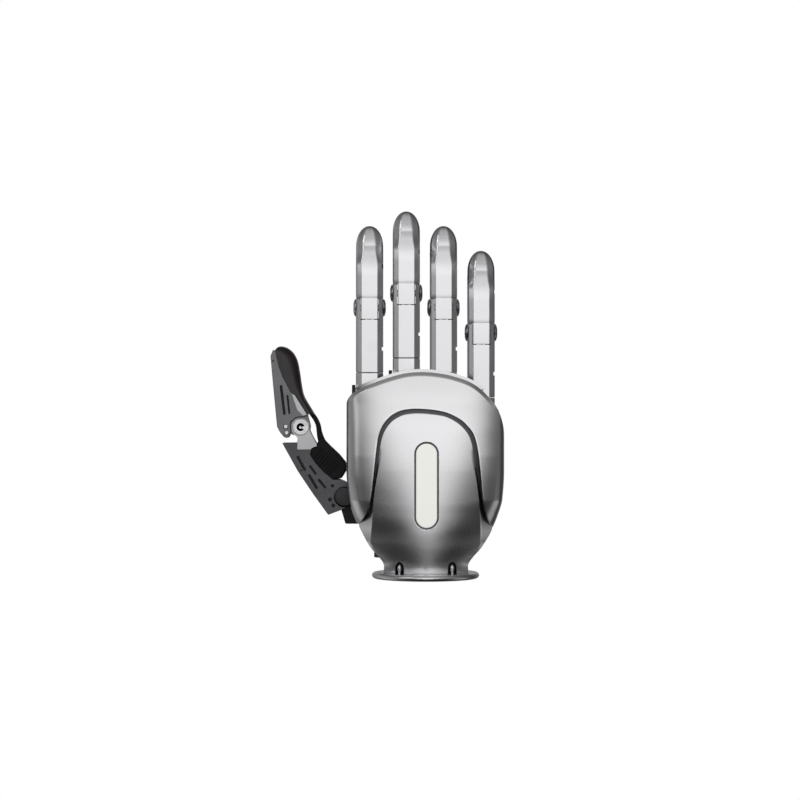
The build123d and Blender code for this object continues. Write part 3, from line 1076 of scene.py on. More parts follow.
    def hinge_pin(self) -> bpy.types.Object:
        """The hinge pin with a domed cap on each side, each with a turned ring.

        Returns:
            The pin with both caps.
        """
        w = self.half
        side = [(0.4, 1.25), (1.3, 1.28), (1.5, 1.45), (2.9, 1.3), (3.05, 0.98), (3.5, 0.94),
                (3.65, 1.12), (4.3, 0.75), (4.7, 0.35), (4.8, 0.02)]
        right = [(r, w + t) for r, t in side]
        left = [(r, -w - t) for r, t in side]
        profile = left + [(1.8, -w + 0.05), (1.8, w - 0.05)] + right[::-1]
        pin = turned("pin_master", profile, Axis.X, (0, 0, self.link), 56)
        sockets = [push("c", circle(0.0, self.link, 1.0, 6), Axis.X, s * (w + 0.6), s * (w + 2.5))
                   for s in (-1, 1)]
        return shade(combine(pin, sockets), 30.0)

    def build(self) -> None:
        """Builds the master pieces, copies them to the four fingers and removes the masters."""
        metal, pad = self.distal()
        masters = [
            (self.proximal(), "link_shell", "proximal", SATIN_FINGER, "silver_shell",
             ["proximal_cover", "proximal_frame"]),
            (self.root(), "knuckle_root", "proximal", SATIN_FINGER, "satin_aluminium",
             ["proximal_frame"]),
            (metal, "tip_shell", "distal", SATIN_FINGER, "silver_shell",
             ["distal_cover", "distal_frame"]),
            (pad, "soft_pad", "distal", FINGER_RUBBER, "black_rubber", ["fingertip_pad"]),
            (self.hinge_pin(), "hinge_pin", "proximal", STEEL, "bright_steel", ["pip_pin"]),
        ]
        for finger, (x, z) in self.places.items():
            for master, label, body, finish, slot, nodes in masters:
                piece = moved_copy(master, f"{finger}_{label}", x, z)
                dress(piece, f"{finger}_{body}", finish, slot, [f"{finger}_{n}" for n in nodes])
        for master, *_ in masters:
            bpy.data.objects.remove(master)


# -------------------------------------------------------------------------------- palm


@dataclass
class BackShell:
    """The back of the hand: horseshoe, centre panel, groove seal and light strip."""

    form: tuple[tuple[float, ...], ...] = (
        (0.0, -21.6, 21.9, -1.0, -17.2, 2.2),
        (6.7, -22.4, 22.7, -1.0, -17.85, 2.2),
        (17.9, -30.4, 30.7, -1.8, -18.85, 2.3),
        (26.2, -35.0, 35.6, -2.6, -19.3, 2.35),
        (34.5, -39.1, 39.0, -3.1, -19.5, 2.35),
        (42.8, -41.2, 41.3, -3.5, -19.6, 2.4),
        (58.2, -42.6, 42.2, -4.0, -19.5, 2.6),
        (78.0, -42.6, 42.2, -4.0, -18.6, 2.9),
        (96.0, -42.6, 42.0, -4.0, -16.2, 3.2),
        (113.0, -42.6, 42.0, -4.0, -13.2, 3.4),
    )
    arch: tuple[Point2, ...] = (
        (-42.6, 92.0), (-42.45, 94.6), (-41.0, 97.7), (-38.4, 100.2), (-34.2, 102.5),
        (-30.0, 104.3), (-20.0, 107.9), (-10.0, 110.4), (0.0, 110.9), (9.65, 109.8),
        (17.0, 108.0), (23.7, 105.5), (29.3, 101.8), (34.2, 96.9), (37.6, 92.6),
        (40.2, 87.0), (41.8, 80.6), (42.2, 74.0),
    )
    inner: tuple[Point2, ...] = (
        (-36.3, 29.6), (-33.6, 32.8), (-31.0, 37.6), (-29.6, 43.0), (-28.8, 49.0),
        (-27.7, 59.0), (-26.7, 68.0), (-25.4, 76.6), (-23.2, 82.4), (-19.2, 87.2),
        (-14.0, 90.2), (-8.0, 91.3), (-1.5, 91.3), (6.0, 90.5), (12.0, 89.0), (18.3, 85.8),
        (22.5, 82.0), (25.3, 78.2), (27.0, 73.2), (28.3, 66.0), (29.4, 56.0), (30.2, 47.0),
        (31.3, 39.0), (33.4, 32.4), (36.2, 27.8),
    )
    tongue: tuple[tuple[float, float, float], ...] = (
        (3.2, -22.6, 22.9), (6.7, -22.4, 22.7), (17.9, -30.3, 30.6), (26.2, -34.9, 35.5),
        (28.0, -35.7, 35.9), (29.6, -35.9, 34.9), (32.8, -33.3, 33.0), (37.6, -30.7, 31.2),
        (43.0, -29.3, 30.1), (47.0, -28.3, 29.1), (52.0, -27.4, 28.0), (59.0, -26.2, 26.8),
        (66.0, -25.1, 25.6), (72.0, -24.1, 24.6),
    )
    crown: tuple[Point2, ...] = (
        (-24.1, 72.0), (-23.3, 76.0), (-21.5, 80.2), (-18.0, 84.6), (-13.0, 87.6),
        (-8.0, 88.7), (-1.8, 88.8), (6.0, 88.0), (11.5, 86.7), (17.0, 83.6), (20.9, 79.9),
        (23.3, 76.2), (24.6, 72.0),
    )
    crease: tuple[tuple[float, float, float], ...] = (
        (3.2, -22.1, 22.4), (6.7, -21.9, 22.2), (12.0, -25.2, 25.5), (17.0, -28.7, 29.0),
        (20.0, -29.8, 29.6),
        (30.0, -29.0, 29.4), (40.0, -28.1, 28.5), (46.0, -27.5, 27.9), (52.0, -26.6, 27.1),
        (60.0, -25.1, 25.7), (72.0, -23.2, 23.7),
    )
    foot: float = 3.2
    split: float = 72.0
    drop: float = 1.2
    tilt: float = 47.0
    square: float = 0.9
    wall: float = 1.6
    chamfer: float = 2.0
    light: tuple[float, float] = (0.35, 50.35)
    bezel: tuple[float, float] = (13.1, 46.9)
    lens: tuple[float, float] = (11.1, 44.8)
    screw_place: float = 14.14

    def y_at(self, x: float, z: float, drop: float = 0.0, fuller: float = 0.0) -> float:
        """Depth of the back surface at a point.

        Args:
            x: Across the hand.
            z: Up the hand.
            drop: How far under the outer surface.
            fuller: How much squarer the section is than the plain one.

        Returns:
            The Y value in millimetres.
        """
        left, right, side, back, full = (table_value(self.form, z, c) for c in range(1, 6))
        mid, half = (left + right) / 2, (right - left) / 2
        t = min(abs((x - mid) / half), 1.0)
        full += fuller
        bulge = (1 - t**full) ** (1 / full)
        return side + (back - side) * bulge + drop * min(1.0, bulge * 2)

    def panel_y(self, x: float, z: float) -> float:
        """Depth of the centre panel: an even curve low down, the palm's own curve above.

        Args:
            x: Across the hand.
            z: Up the hand.

        Returns:
            The Y value in millimetres.
        """
        base = self.y_at(x, z, self.drop)
        free = clamped((z - 42.0) / 16.0)
        if free == 1.0:
            return base
        crease = table_value(self.crease, z, 1 if x < 0 else 2)
        top = self.y_at(0.15, z, self.drop)
        fall = self.y_at(crease, z, self.drop) - top
        fall = fall if fall < 6.0 else 6.0 + 1.6 * (1 - math.exp((6.0 - fall) / 1.6))
        even = top + fall * abs((x - 0.15) / (crease - 0.15)) ** 2.1
        return even + (base - even) * free

    def horseshoe(self) -> bpy.types.Object:
        """The outer part of the back shell, with its chamfered arch.

        Returns:
            The shell.
        """
        count = 361
        low_left = [(table_value(self.form, z, 1), z) for z in (29.4, 34.5, 42.8, 50, 58.2, 70, 82)]
        low_right = [(table_value(self.form, z, 2), z) for z in (66, 58.2, 50, 42.8, 34.5, 27.6)]
        outer = smooth_curve(low_left + list(self.arch) + low_right, count)
        inside = smooth_curve(self.inner, count)
        fixed = (0.0, 0.03, 0.1, 0.22, 0.4, 0.65, 1.0, 1.5, self.chamfer, 2.4, 3.0, 4.0, 5.4)
        grid = []
        for i, (o, p) in enumerate(zip(outer, inside)):
            width = math.dist(o, p)
            top = clamped((o[1] - 93.0) / 8.0)
            left = table_value(self.form, o[1], 1 if o[0] < 0 else 2)
            ox = left if o[1] < 74 or (o[0] < 0 and o[1] < 90) else o[0]
            runs = [min(f, width * (k + 1) / 26 if k else 0.0) for k, f in enumerate(fixed)]
            runs += [runs[-1] + (width - runs[-1]) * (k + 1) / 14 for k in range(14)]
            column = []
            side = 1.0 - top
            y0 = self.y_at(ox, o[1])
            column.append((ox, y0 + (-0.6 - y0) * side + 1.2 * top, o[1]))
            for run in runs:
                s = run / width
                x, z = ox + (p[0] - ox) * s, o[1] + (p[1] - o[1]) * s
                cut = max(self.chamfer - run, 0.0) * 0.62 * top
                more = self.square * clamped((z - 28.0) / 14.0)
                more *= clamped((94.0 - z) / 28.0)
                column.append((x, self.y_at(x, z, 0.0, more) + cut, z))
            grid.append(column)
        return shade(soften(sheet("outer_horseshoe", grid, self.wall), 0.35, 3, 42.0), 32.0)

    def edge_x(self, z: float, side: int) -> float:
        """Edge of the centre panel at a height; side is 1 for left and 2 for right.

        Args:
            z: Up the hand.
            side: 1 for left and 2 for right.

        Returns:
            The X value in millimetres.
        """
        return table_value(self.tongue, min(z, self.split), side)

    def centre_panel(self) -> bpy.types.Object:
        """The centre panel with its two side facets, light opening and screw pockets.

        Returns:
            The shell.
        """
        crown = smooth_curve(self.crown, 121)
        rows, half_cols, facet_cols = 150, 46, 7
        shares = [k / half_cols for k in range(half_cols + 1)]
        shares += [1.0 + 0.1 * (k + 1) / facet_cols for k in range(facet_cols)]
        shares += [1.1 + 0.1 * (k + 1) / 4 for k in range(4)]
        shares = [-u for u in shares[:0:-1]] + shares
        middle, lean = 0.3, math.tan(math.radians(self.tilt))

        def x_at(u: float, z: float) -> float:
            """Across the panel: the tongue to a share of 1, a facet to 1.1, then its side.

            Args:
                u: Share of the way from the middle to the crease.
                z: Up the hand.

            Returns:
                The X value in millimetres.
            """
            zz = min(z, self.split)
            side = 1 if u < 0 else 2
            crease = table_value(self.crease, zz, side)
            if abs(u) <= 1:
                return middle + (crease - middle) * abs(u)
            return crease + (self.edge_x(zz, side) - crease) * min((abs(u) - 1) / 0.1, 1.0)

        def top_at(x: float) -> float:
            """Height of the crown over a place across the panel.

            Args:
                x: Across the hand.

            Returns:
                The height in millimetres.
            """
            for a, b in zip(crown, crown[1:]):
                if a[0] <= x <= b[0]:
                    t = (x - a[0]) / max(b[0] - a[0], 1e-6)
                    return a[1] + (b[1] - a[1]) * t
            return self.split

        grid = []
        for i in range(rows + 1):
            v = i / rows
            row = []
            for u in shares:
                top = top_at(x_at(u, self.split))
                z = self.foot + v * (top - self.foot)
                x = x_at(u, z)
                y = self.panel_y(x, z)
                if abs(u) > 1:
                    crease = x_at(math.copysign(1.0, u), z)
                    flat = clamped((70.0 - z) / 14.0)
                    flat *= clamped((z - 9.0) / 9.0)
                    plane = self.panel_y(crease, z) + abs(x - crease) * lean
                    y += (min(plane, -1.0) - y) * flat
                    if abs(u) > 1.1:
                        free = clamped((31.0 - z) / 4.0)
                        foot = (y + 3.0) * (1 - free) - 0.6 * free
                        y += (max(foot, y) - y) * (abs(u) - 1.1) / 0.1
                row.append((x, y, z))
            grid.append(row)
        back = []
        for row in grid:
            reach = max(abs(p[0]) for p in row)
            k = 1 - self.wall / reach
            back.append([(x * k, min(y + self.wall, max(y, -0.6)), z) for x, y, z in row])
        panel = twin_sheet("centre_panel", grid, back)
        cx, cz = self.light
        reach = (self.bezel[1] - self.bezel[0]) / 2
        cutters = [push("c", slot_outline((cx, cz - reach), (cx, cz + reach), self.bezel[0], 20),
                        Axis.Y, -26, -12)]
        for x in (-self.screw_place, self.screw_place):
            profile = [(0.05, 9.6), (1.1, 9.35), (1.95, 8.4), (2.4, 6.9), (2.4, 1.0)]
            cutters.append(turned("c", profile, Axis.Z, (x, -self.screw_place, 0), 40))
        combine(panel, cutters)
        return shade(soften(panel, 0.3, 3, 50.0), 32.0)

    def groove(self) -> bpy.types.Object:
        """The dark seal at the bottom of the groove.

        Returns:
            The strip.
        """
        count = 221
        outer = smooth_curve(self.inner[3:-3], count)
        sides = [(self.edge_x(z, 1), z) for z in (43, 47, 52, 59, 66)]
        sides_r = [(self.edge_x(z, 2), z) for z in (66, 59, 52, 47, 39)]
        inner = smooth_curve(sides + list(self.crown) + sides_r, count)
        grid = []
        for o, p in zip(outer, inner):
            column = []
            for k in range(7):
                s = -0.35 + 1.7 * k / 6
                x, z = o[0] + (p[0] - o[0]) * s, o[1] + (p[1] - o[1]) * s
                deep = 2.0 + 1.6 * clamped((62.0 - z) / 14.0)
                column.append((x, self.y_at(x, z, deep), z))
            grid.append(column)
        return shade(sheet("groove_seal_strip", grid, 0.5), 40.0)

    def light_strip(self) -> tuple[bpy.types.Object, bpy.types.Object]:
        """The dark surround and the opal lens of the light.

        Returns:
            The surround and the lens.
        """
        cx, cz = self.light

        def ring(width: float, length: float, lift: float) -> list[Point3]:
            """A slot outline laid on the panel.

            Args:
                width: Width of the slot.
                length: Whole length of the slot.
                lift: How far it lies under the panel.

            Returns:
                The points.
            """
            reach = (length - width) / 2
            flat = slot_outline((cx, cz - reach), (cx, cz + reach), width, 24)
            dense = smooth_curve(flat, 160, closed=True)
            return [(x, self.panel_y(x, z) + lift, z) for x, z in dense]

        bw, bl = self.bezel
        lw, ll = self.lens
        bezel = loft("light_surround", [
            ring(bw - 0.05, bl - 0.05, 2.2), ring(bw - 0.05, bl - 0.05, 0.55),
            ring(lw + 0.1, ll + 0.1, 0.6), ring(lw - 1.2, ll - 1.2, 1.0),
            ring(lw - 1.2, ll - 1.2, 2.0),
        ])
        grid = []
        for i in range(97):
            z = cz - math.cos(math.pi * i / 96) * (ll / 2 - 0.02)
            over = max(abs(z - cz) - (ll - lw) / 2, 0.0)
            half = math.sqrt(max((lw / 2) ** 2 - over * over, 0.0009))
            row = []
            for j in range(25):
                x = cx - math.cos(math.pi * j / 24) * half
                edge = lw / 2 - math.hypot(x - cx, over)
                roll = 0.3 * max(1.0 - edge / 0.5, 0.0) ** 2
                row.append((x, self.panel_y(x, z) + roll, z))
            grid.append(row)
        lens = sheet("opal_light", grid, 0.9)
        return shade(bezel, 40.0), shade(lens, 40.0)

    def build(self) -> None:
        """Builds and dresses the pieces of the back."""
        dress(self.horseshoe(), "palm", SATIN_SHELL, "silver_shell", ["knuckle_shell"])
        dress(self.centre_panel(), "palm", SATIN_SHELL, "silver_shell", ["back_panel"])
        dress(self.groove(), "palm", GROOVE_SEAL, "dark_polymer")
        surround, lens = self.light_strip()
        dress(surround, "palm", GROOVE_SEAL, "dark_polymer", ["light_bezel"])
        dress(lens, "palm", OPAL, "opal_lens", ["light_lens"])


@dataclass
class Wrist:
    """The wrist flange and its socket screws."""

    radius: float
    thick: float
    bolt_circle: float = 51.0
    hole: float = 3.4
    screw_circle: float = 40.0

    def flange(self) -> bpy.types.Object:
        """The flange with a rounded rim and its bolt holes.

        Returns:
            The flange.
        """
        r, t = self.radius, self.thick
        profile = [(0.05, 0.0), (r - 1.2, 0.0)]
        for k in range(9):
            a = -math.pi / 2 + math.pi * k / 8
            profile.append((r - t / 2 + t / 2 * math.cos(a) * 0.98, t / 2 + t / 2 * math.sin(a)))
        profile += [(r - 2.6, t), (0.05, t)]
        disc = turned("round_flange", profile, Axis.Z, (0, 0, 0), 128)
        cutters = []
        for k in range(4):
            a = math.pi / 2 * k
            x, y = self.bolt_circle / 2 * math.cos(a), self.bolt_circle / 2 * math.sin(a)
            cutters.append(
                turned("c", [(self.hole / 2, -1), (self.hole / 2, 5)], Axis.Z, (x, y, 0), 36)
            )
        combine(disc, cutters)
        return shade(soften(disc, 0.15, 2, 60.0), 30.0)

    def neck(self) -> bpy.types.Object:
        """The polymer neck between the flange and the shells.

        Returns:
            The neck.
        """
        rings = []
        for z, k in ((self.thick, 1.0), (self.thick + 5.2, 1.0), (self.thick + 5.8, 0.96)):
            rings.append([(x * k, 1.0 + y * k * 0.67, z) for x, y in circle(0, 0, 20.0, 96)])
        return shade(loft("wrist_neck", rings), 40.0)

    def screw(self) -> bpy.types.Object:
        """A socket screw with a rounded head, standing at the origin.

        Returns:
            The screw.
        """
        t = self.thick
        profile = [(1.2, 0.7), (1.2, t + 0.05), (0.85, t + 0.3), (0.85, t + 1.2), (1.15, t + 1.5),
                   (1.28, t + 2.3), (1.28, t + 3.2), (1.1, t + 4.1), (0.7, t + 4.8),
                   (0.05, t + 5.1)]
        head = turned("screw_master", profile, Axis.Z, (0, 0, 0), 40)
        socket = push("c", circle(0, 0, 0.5, 6), Axis.Z, t + 3.8, t + 6)
        return shade(soften(combine(head, [socket]), 0.08, 2, 50.0), 35.0)

    def shade_cup(self) -> bpy.types.Object:
        """A black cup in one screw pocket, open to the back, standing at the origin: painted shade
        inside the pocket.

        Returns:
            The cup.
        """
        cup = turned("pocket_liner", [(2.34, 3.15), (2.34, 6.8), (1.9, 8.25), (1.05, 9.2),
                                      (0.05, 9.45)], Axis.Z, (0, 0, 0), 40)
        cutters = [
            turned("c", [(2.14, 2.0), (2.14, 6.7), (1.72, 8.1), (0.95, 9.0), (0.05, 9.25)],
                   Axis.Z, (0, 0, 0), 40),
            block("c", (-4, -4, 0), (4, -0.45, 12)),
        ]
        return shade(combine(cup, cutters), 40.0)

    def build(self) -> None:
        """Builds and dresses the flange, the four screws and the two black cups that paint the
        shade in the screw pockets.
        """
        dress(self.flange(), "palm", SATIN_SHELL, "satin_aluminium", ["wrist_flange"])
        dress(self.neck(), "palm", MOULDED, "dark_polymer", ["wrist_connector"])
        s = self.screw_circle / 2 * math.sin(math.pi / 4)
        for label, y in (("back", -s), ("front", s)):
            pair = row_of(f"flange_screws_{label}", self.screw(), 2, (-s, y, 0), (2 * s, 0, 0),
                          STEEL)
            dress(shade(pair, 35.0), "palm", STEEL, "bright_steel", ["flange_screws"])
        # Black cups in both screw pockets: painted shade in these recesses.
        shade_cups = row_of("pocket_liners", self.shade_cup(), 2, (-s, -s, 0), (2 * s, 0, 0),
                        BLACK_POLYMER_AND_PAINTED_SHADE)
        dress(shade(shade_cups, 40.0), "palm", BLACK_POLYMER_AND_PAINTED_SHADE, "dark_polymer")


@dataclass
class PalmPad:
    """The ribbed grip pad on the front of the palm."""

    low: float
    high: float
    outline: tuple[Point2, ...] = (
        (-8, 34), (30, 34), (34, 60), (32, 74), (-26, 74), (-28, 52),
    )

    def build(self) -> None:
        """Builds the pad's sheet and its row of ribs."""
        flat = rounded(self.outline, [4.0] * 6, 8)
        pad = push("palm_grip", flat, Axis.Y, self.low, self.high)
        holes = [turned("c", [(2.4, 7), (2.4, 11)], Axis.Y, (34, 0, z), 32) for z in (50, 72)]
        combine(pad, holes)
        dress(shade(soften(pad, 0.3, 3, 50.0)), "palm", BLACK_RUBBER, "black_rubber", ["palm_pad"])
        rib = push("rib_master", rounded([(-20, -0.7), (22, -0.7), (22, 0.7), (-20, 0.7)],
                                         [0.6] * 4), Axis.Y, self.high - 0.2,
                   self.high + RIB_HEIGHT)
        soften(rib, 0.15, 2, 50.0)
        row = row_of("palm_grip_ribs", rib, 11, (4, 0, 41.0), (0, 0, 3.0), BLACK_RUBBER)
        dress(shade(row), "palm", BLACK_RUBBER, "black_rubber")


# ------------------------------------------------------------------------------- thumb


@dataclass
class Thumb:
    """The two thumb links, their skins, pads, pins and strap."""

    base: Point2
    joint: Point2
    low: float = 10.0
    high: float = 26.0
    gap: float = 3.0

    def slot_shade_floors(self, name: str, cuts: Sequence[Sequence[Point2]], y0: float, y1: float,
                    body: str) -> None:
        """Black polymer at the bottom of the slots on both faces: painted shade inside the slots.

        Args:
            name: Name of the piece.
            cuts: Outlines of the slots.
            y0: Near face of the link.
            y1: Far face of the link.
            body: The body it rides on.
        """
        work = bmesh.new()
        for k, cut in enumerate(cuts):
            for a, b in ((y0 + 0.95, y0 + 1.38), (y1 - 1.38, y1 - 0.95)):
                piece = push("floor", cut, Axis.Y, a, b)
                work.from_mesh(piece.data)
                bpy.data.objects.remove(piece)
        shade_inserts = new_object(name, [], [])
        work.to_mesh(shade_inserts.data)
        work.free()
        dress(shade(shade_inserts), body, BLACK_POLYMER_AND_PAINTED_SHADE, "dark_polymer")

    def proximal(self) -> None:
        """The first link: the slotted body and its bright neck.
        """
        y0, y1, t = self.low, self.high, self.gap
        corners = [(-78.0, 72.6), (-69.4, 57.1), (-61.0, 44.6), (-52.9, 33.4), (-46.0, 36.0),
                   (-43.5, 37.2), (-38.9, 41.0), (-38.6, 46.0), (-42.0, 50.6), (-46.6, 52.6),
                   (-50.3, 52.6), (-55.0, 56.4), (-60.0, 61.8), (-62.9, 66.3), (-62.0, 69.1),
                   (-69.8, 69.1), (-69.6, 72.7)]
        radii = [0.3, 8.0, 8.0, 0.6, 1.5, 1.5, 2.5, 2.5, 3.0, 2.0, 2.0, 3.0, 3.0, 1.0, 0.3,
                 0.3, 0.4]
        outline = rounded(corners, radii, 6)
        slots = [
            slot_outline((-69.4, 64.9), (-65.7, 58.1), 1.5),
            slot_outline((-62.6, 59.8), (-59.8, 55.9), 1.4),
            slot_outline((-63.2, 54.9), (-59.3, 48.3), 1.5),
            slot_outline((-57.9, 52.4), (-54.7, 48.5), 1.4),
            circle(-50.6, 49.3, 0.95, 16), circle(-51.9, 41.8, 1.1, 20),
            circle(-50.1, 38.5, 1.1, 20), circle(-67.6, 57.6, 0.5, 12),
        ]
        link = soften(push("thumb_first_link", outline, Axis.Y, y0, y1), 0.8, 4, 60.0)
        inner = [
            push("c", circle(*self.base, 7.3, 48), Axis.Y, y0 + t, y1 - t),
            block("c", (-50.6, y0 + t, 20), (-30, y1 - t, 49.6)),
        ]
        combine(link, inner)
        for cut in slots:
            combine(link, [push("c", cut, Axis.Y, y0 - 1, y0 + 1.4),
                           push("c", cut, Axis.Y, y1 - 1.4, y1 + 1)])
        # Black plates at the bottom of the slots paint the shade inside them.
        self.slot_shade_floors("thumb_first_floor", slots, y0, y1, "thumb_proximal")
        discs = [push("c", circle(*self.base, 5.9, 48), Axis.Y, *pair)
                 for pair in ((y0 - 1, y0 + 0.5), (y1 - 0.5, y1 + 1))]
        combine(link, discs)
        dress(shade(soften(link, 0.14, 2, 50.0), 35.0), "thumb_proximal", DARK_GUNMETAL,
              "gunmetal", ["thumb_proximal_frame", "thumb_proximal_cover"])

        neck_line = rounded(
            [(-71.9, 66.6), (-69.6, 68.7), (-62.9, 68.9), (-59.0, 71.6), (-61.6, 76.2),
             (-63.2, 79.6), (-63.2, 83.4), (-65.8, 86.0), (-70.2, 86.0), (-72.8, 83.4),
             (-72.8, 79.0), (-69.6, 75.2), (-69.9, 72.4), (-77.4, 72.4), (-76.2, 70.8)],
            [0.2, 0.5, 0.5, 0.8, 3.0, 1.5, 3.0, 3.5, 3.5, 3.0, 2.5, 1.5, 0.2, 0.1, 0.2], 7)
        for label, a, b in (("near", y0 + 0.25, y0 + 2.9), ("far", y1 - 2.9, y1 - 0.25)):
            ear = push(f"thumb_neck_{label}", neck_line, Axis.Y, a, b)
            face = a if label == "near" else b
            way = 1 if label == "near" else -1
            ring = [push("c", circle(*self.joint, 4.55, 48), Axis.Y,
                         *sorted((face - way, face + way * 0.35)))]
            combine(ear, ring)
            dress(shade(soften(ear, 0.3, 3, 40.0), 35.0), "thumb_proximal", NECK_METAL_AND_PAINTED_HIGHLIGHT,
                  "gunmetal", ["thumb_proximal_frame"])
        web = push("thumb_neck_web", rounded(
            [(-71.4, 66.5), (-61.9, 66.5), (-61.6, 70.5), (-64.5, 73.3), (-69.6, 73.3),
             (-70.2, 70.0)], [0.3, 0.3, 1.0, 1.0, 1.0, 0.5]), Axis.Y, y0 + 2.6, y1 - 2.6)
        dress(shade(soften(web, 0.3, 2, 40.0)), "thumb_proximal", GUNMETAL, "gunmetal")

    def pins(self) -> None:
        """The base pin with its two discs and the upper pin with its slotted rings."""
        y0, y1 = self.low, self.high
        disc = [(0.05, -0.55), (4.6, -0.55), (5.0, -0.45), (5.2, -0.2), (5.7, 0.0), (5.75, 0.45)]
        near = [(r, y0 + t) for r, t in disc]
        far = [(r, y1 - t) for r, t in disc]
        profile = near + [(2.0, y0 + 0.46), (2.0, y1 - 0.46)] + far[::-1]
        base = turned("thumb_base_pin", profile, Axis.Y, (self.base[0], 0, self.base[1]), 56)
        dress(shade(base, 30.0), "thumb_proximal", DARK_STEEL, "gunmetal", ["thumb_mcp_pin"])

        ring = [(0.35, 0.25), (0.8, 0.2), (0.9, 0.5), (2.1, 0.5), (2.2, 0.1), (3.1, 0.08),
                (3.2, 0.42), (3.9, 0.42), (4.0, 0.1), (4.35, 0.12), (4.5, 0.4)]
        near = [(r, y0 + 0.1 + t) for r, t in ring]
        far = [(r, y1 - 0.1 - t) for r, t in ring]
        profile = near + [(1.7, y0 + 0.7), (1.7, y1 - 0.7)] + far[::-1]
        upper = turned("thumb_upper_pin", profile, Axis.Y, (self.joint[0], 0, self.joint[1]), 56)
        bridges = []
        for a, b in ((y0, y0 + 0.62), (y1 - 0.62, y1)):
            jx, jz = self.joint
            bridges.append(push("c", [(jx + 1.0, jz - 0.9), (jx + 4.0, jz - 1.8),
                                      (jx + 4.0, jz + 0.6), (jx + 1.0, jz + 0.4)], Axis.Y, a, b))
        for bridge in bridges:
            combine(upper, [bridge], Cut.JOIN)
        dress(shade(upper, 30.0), "thumb_proximal", STEEL, "bright_steel", ["thumb_ip_pin"])

    def distal(self) -> None:
        """The second link, its slots and screws, a painted highlight along its edge, painted shade
        in its slots, and its soft tip.
        """
        y0, y1, t = self.low + 0.4, self.high - 0.4, self.gap + 0.35
        corners = [(-82.9, 123.6), (-84.4, 120.0), (-83.3, 107.6), (-82.1, 94.9), (-80.8, 81.4),
                   (-79.2, 78.4), (-76.9, 75.6), (-74.6, 75.2), (-73.4, 78.6), (-73.8, 83.6),
                   (-70.4, 86.6), (-66.8, 86.9), (-64.0, 87.6), (-70.9, 98.6), (-73.4, 100.4),
                   (-77.4, 107.9), (-79.6, 113.7), (-81.7, 122.6)]
        radii = [0.6, 1.8, 20, 20, 3, 2, 2, 1.5, 2, 2, 2.5, 1.0, 0.5, 1.0, 2.0, 12, 12, 0.5]
        outline = rounded(corners, radii, 7)
        slots = [slot_outline((-78.6, 103.4), (-76.8, 88.6), 1.5),
                 slot_outline((-75.1, 98.2), (-74.1, 88.8), 1.1),
                 circle(-82.9, 117.2, 0.5, 12)]
        metal = soften(push("thumb_second_link", outline, Axis.Y, y0, y1), 1.0, 5, 60.0)
        for cut in slots:
            combine(metal, [push("c", cut, Axis.Y, y0 - 1, y0 + 1.5),
                            push("c", cut, Axis.Y, y1 - 1.5, y1 + 1)])
        # Black plates at the bottom of the slots paint the shade inside them.
        self.slot_shade_floors("thumb_second_floor", slots, y0, y1, "thumb_distal")
        tongue = push("t", rounded([(-76.0, 78.0), (-73.0, 77.2), (-68.0, 75.9), (-63.0, 78.0),
                                    (-62.7, 82.0), (-64.2, 87.6), (-74.0, 88.0)],
                                   [1, 1, 3, 2, 2, 0.5, 0.5]), Axis.Y, y0 + t, y1 - t)
        combine(metal, [tongue], Cut.JOIN)
        seats = [turned("c", [(1.45, y0 - 1), (1.45, y0 + 1.0)], Axis.Y, (x, 0, z), 24)
                 for x, z in ((-76.1, 81.4), (-75.6, 78.0))]
        bore = turned("c", [(1.75, y0 - 1), (1.75, y1 + 1)], Axis.Y,
                      (self.joint[0], 0, self.joint[1]), 32)
        combine(metal, seats + [bore])
        dress(shade(soften(metal, 0.14, 2, 50.0), 35.0), "thumb_distal", GUNMETAL, "gunmetal",
              ["thumb_distal_frame"])
        # Thin plates of the neck's bright metal on both faces along the lower edge: a painted
        # highlight where that edge catches the light.
        facet = [(-72.8, 99.3), (-71.2, 98.6), (-64.5, 88.0), (-66.6, 87.4), (-69.8, 90.6)]
        for label, a, b in (("near", y0 - 0.12, y0 + 0.5), ("far", y1 - 0.5, y1 + 0.12)):
            edge = push(f"thumb_bright_edge_{label}", rounded(facet, [0.4] * 5), Axis.Y, a, b)
            dress(shade(soften(edge, 0.25, 3, 40.0), 35.0), "thumb_distal", NECK_METAL_AND_PAINTED_HIGHLIGHT,
                  "gunmetal", ["thumb_distal_frame"])
        profile = [(1.3, 2.5), (1.3, 0.35), (1.15, 0.15), (0.85, 0.08), (0.8, 0.5), (0.05, 0.5)]
        screw = turned("screw_master", [(r, y0 + v) for r, v in profile], Axis.Y, (0, 0, 0), 28)
        pair = row_of("thumb_link_screws", screw, 2, (-76.1, 0, 81.4), (0.5, 0, -3.4), STEEL)
        dress(shade(pair, 35.0), "thumb_distal", STEEL, "bright_steel", ["thumb_screws"])
        self.soft_tip(y0, y1)

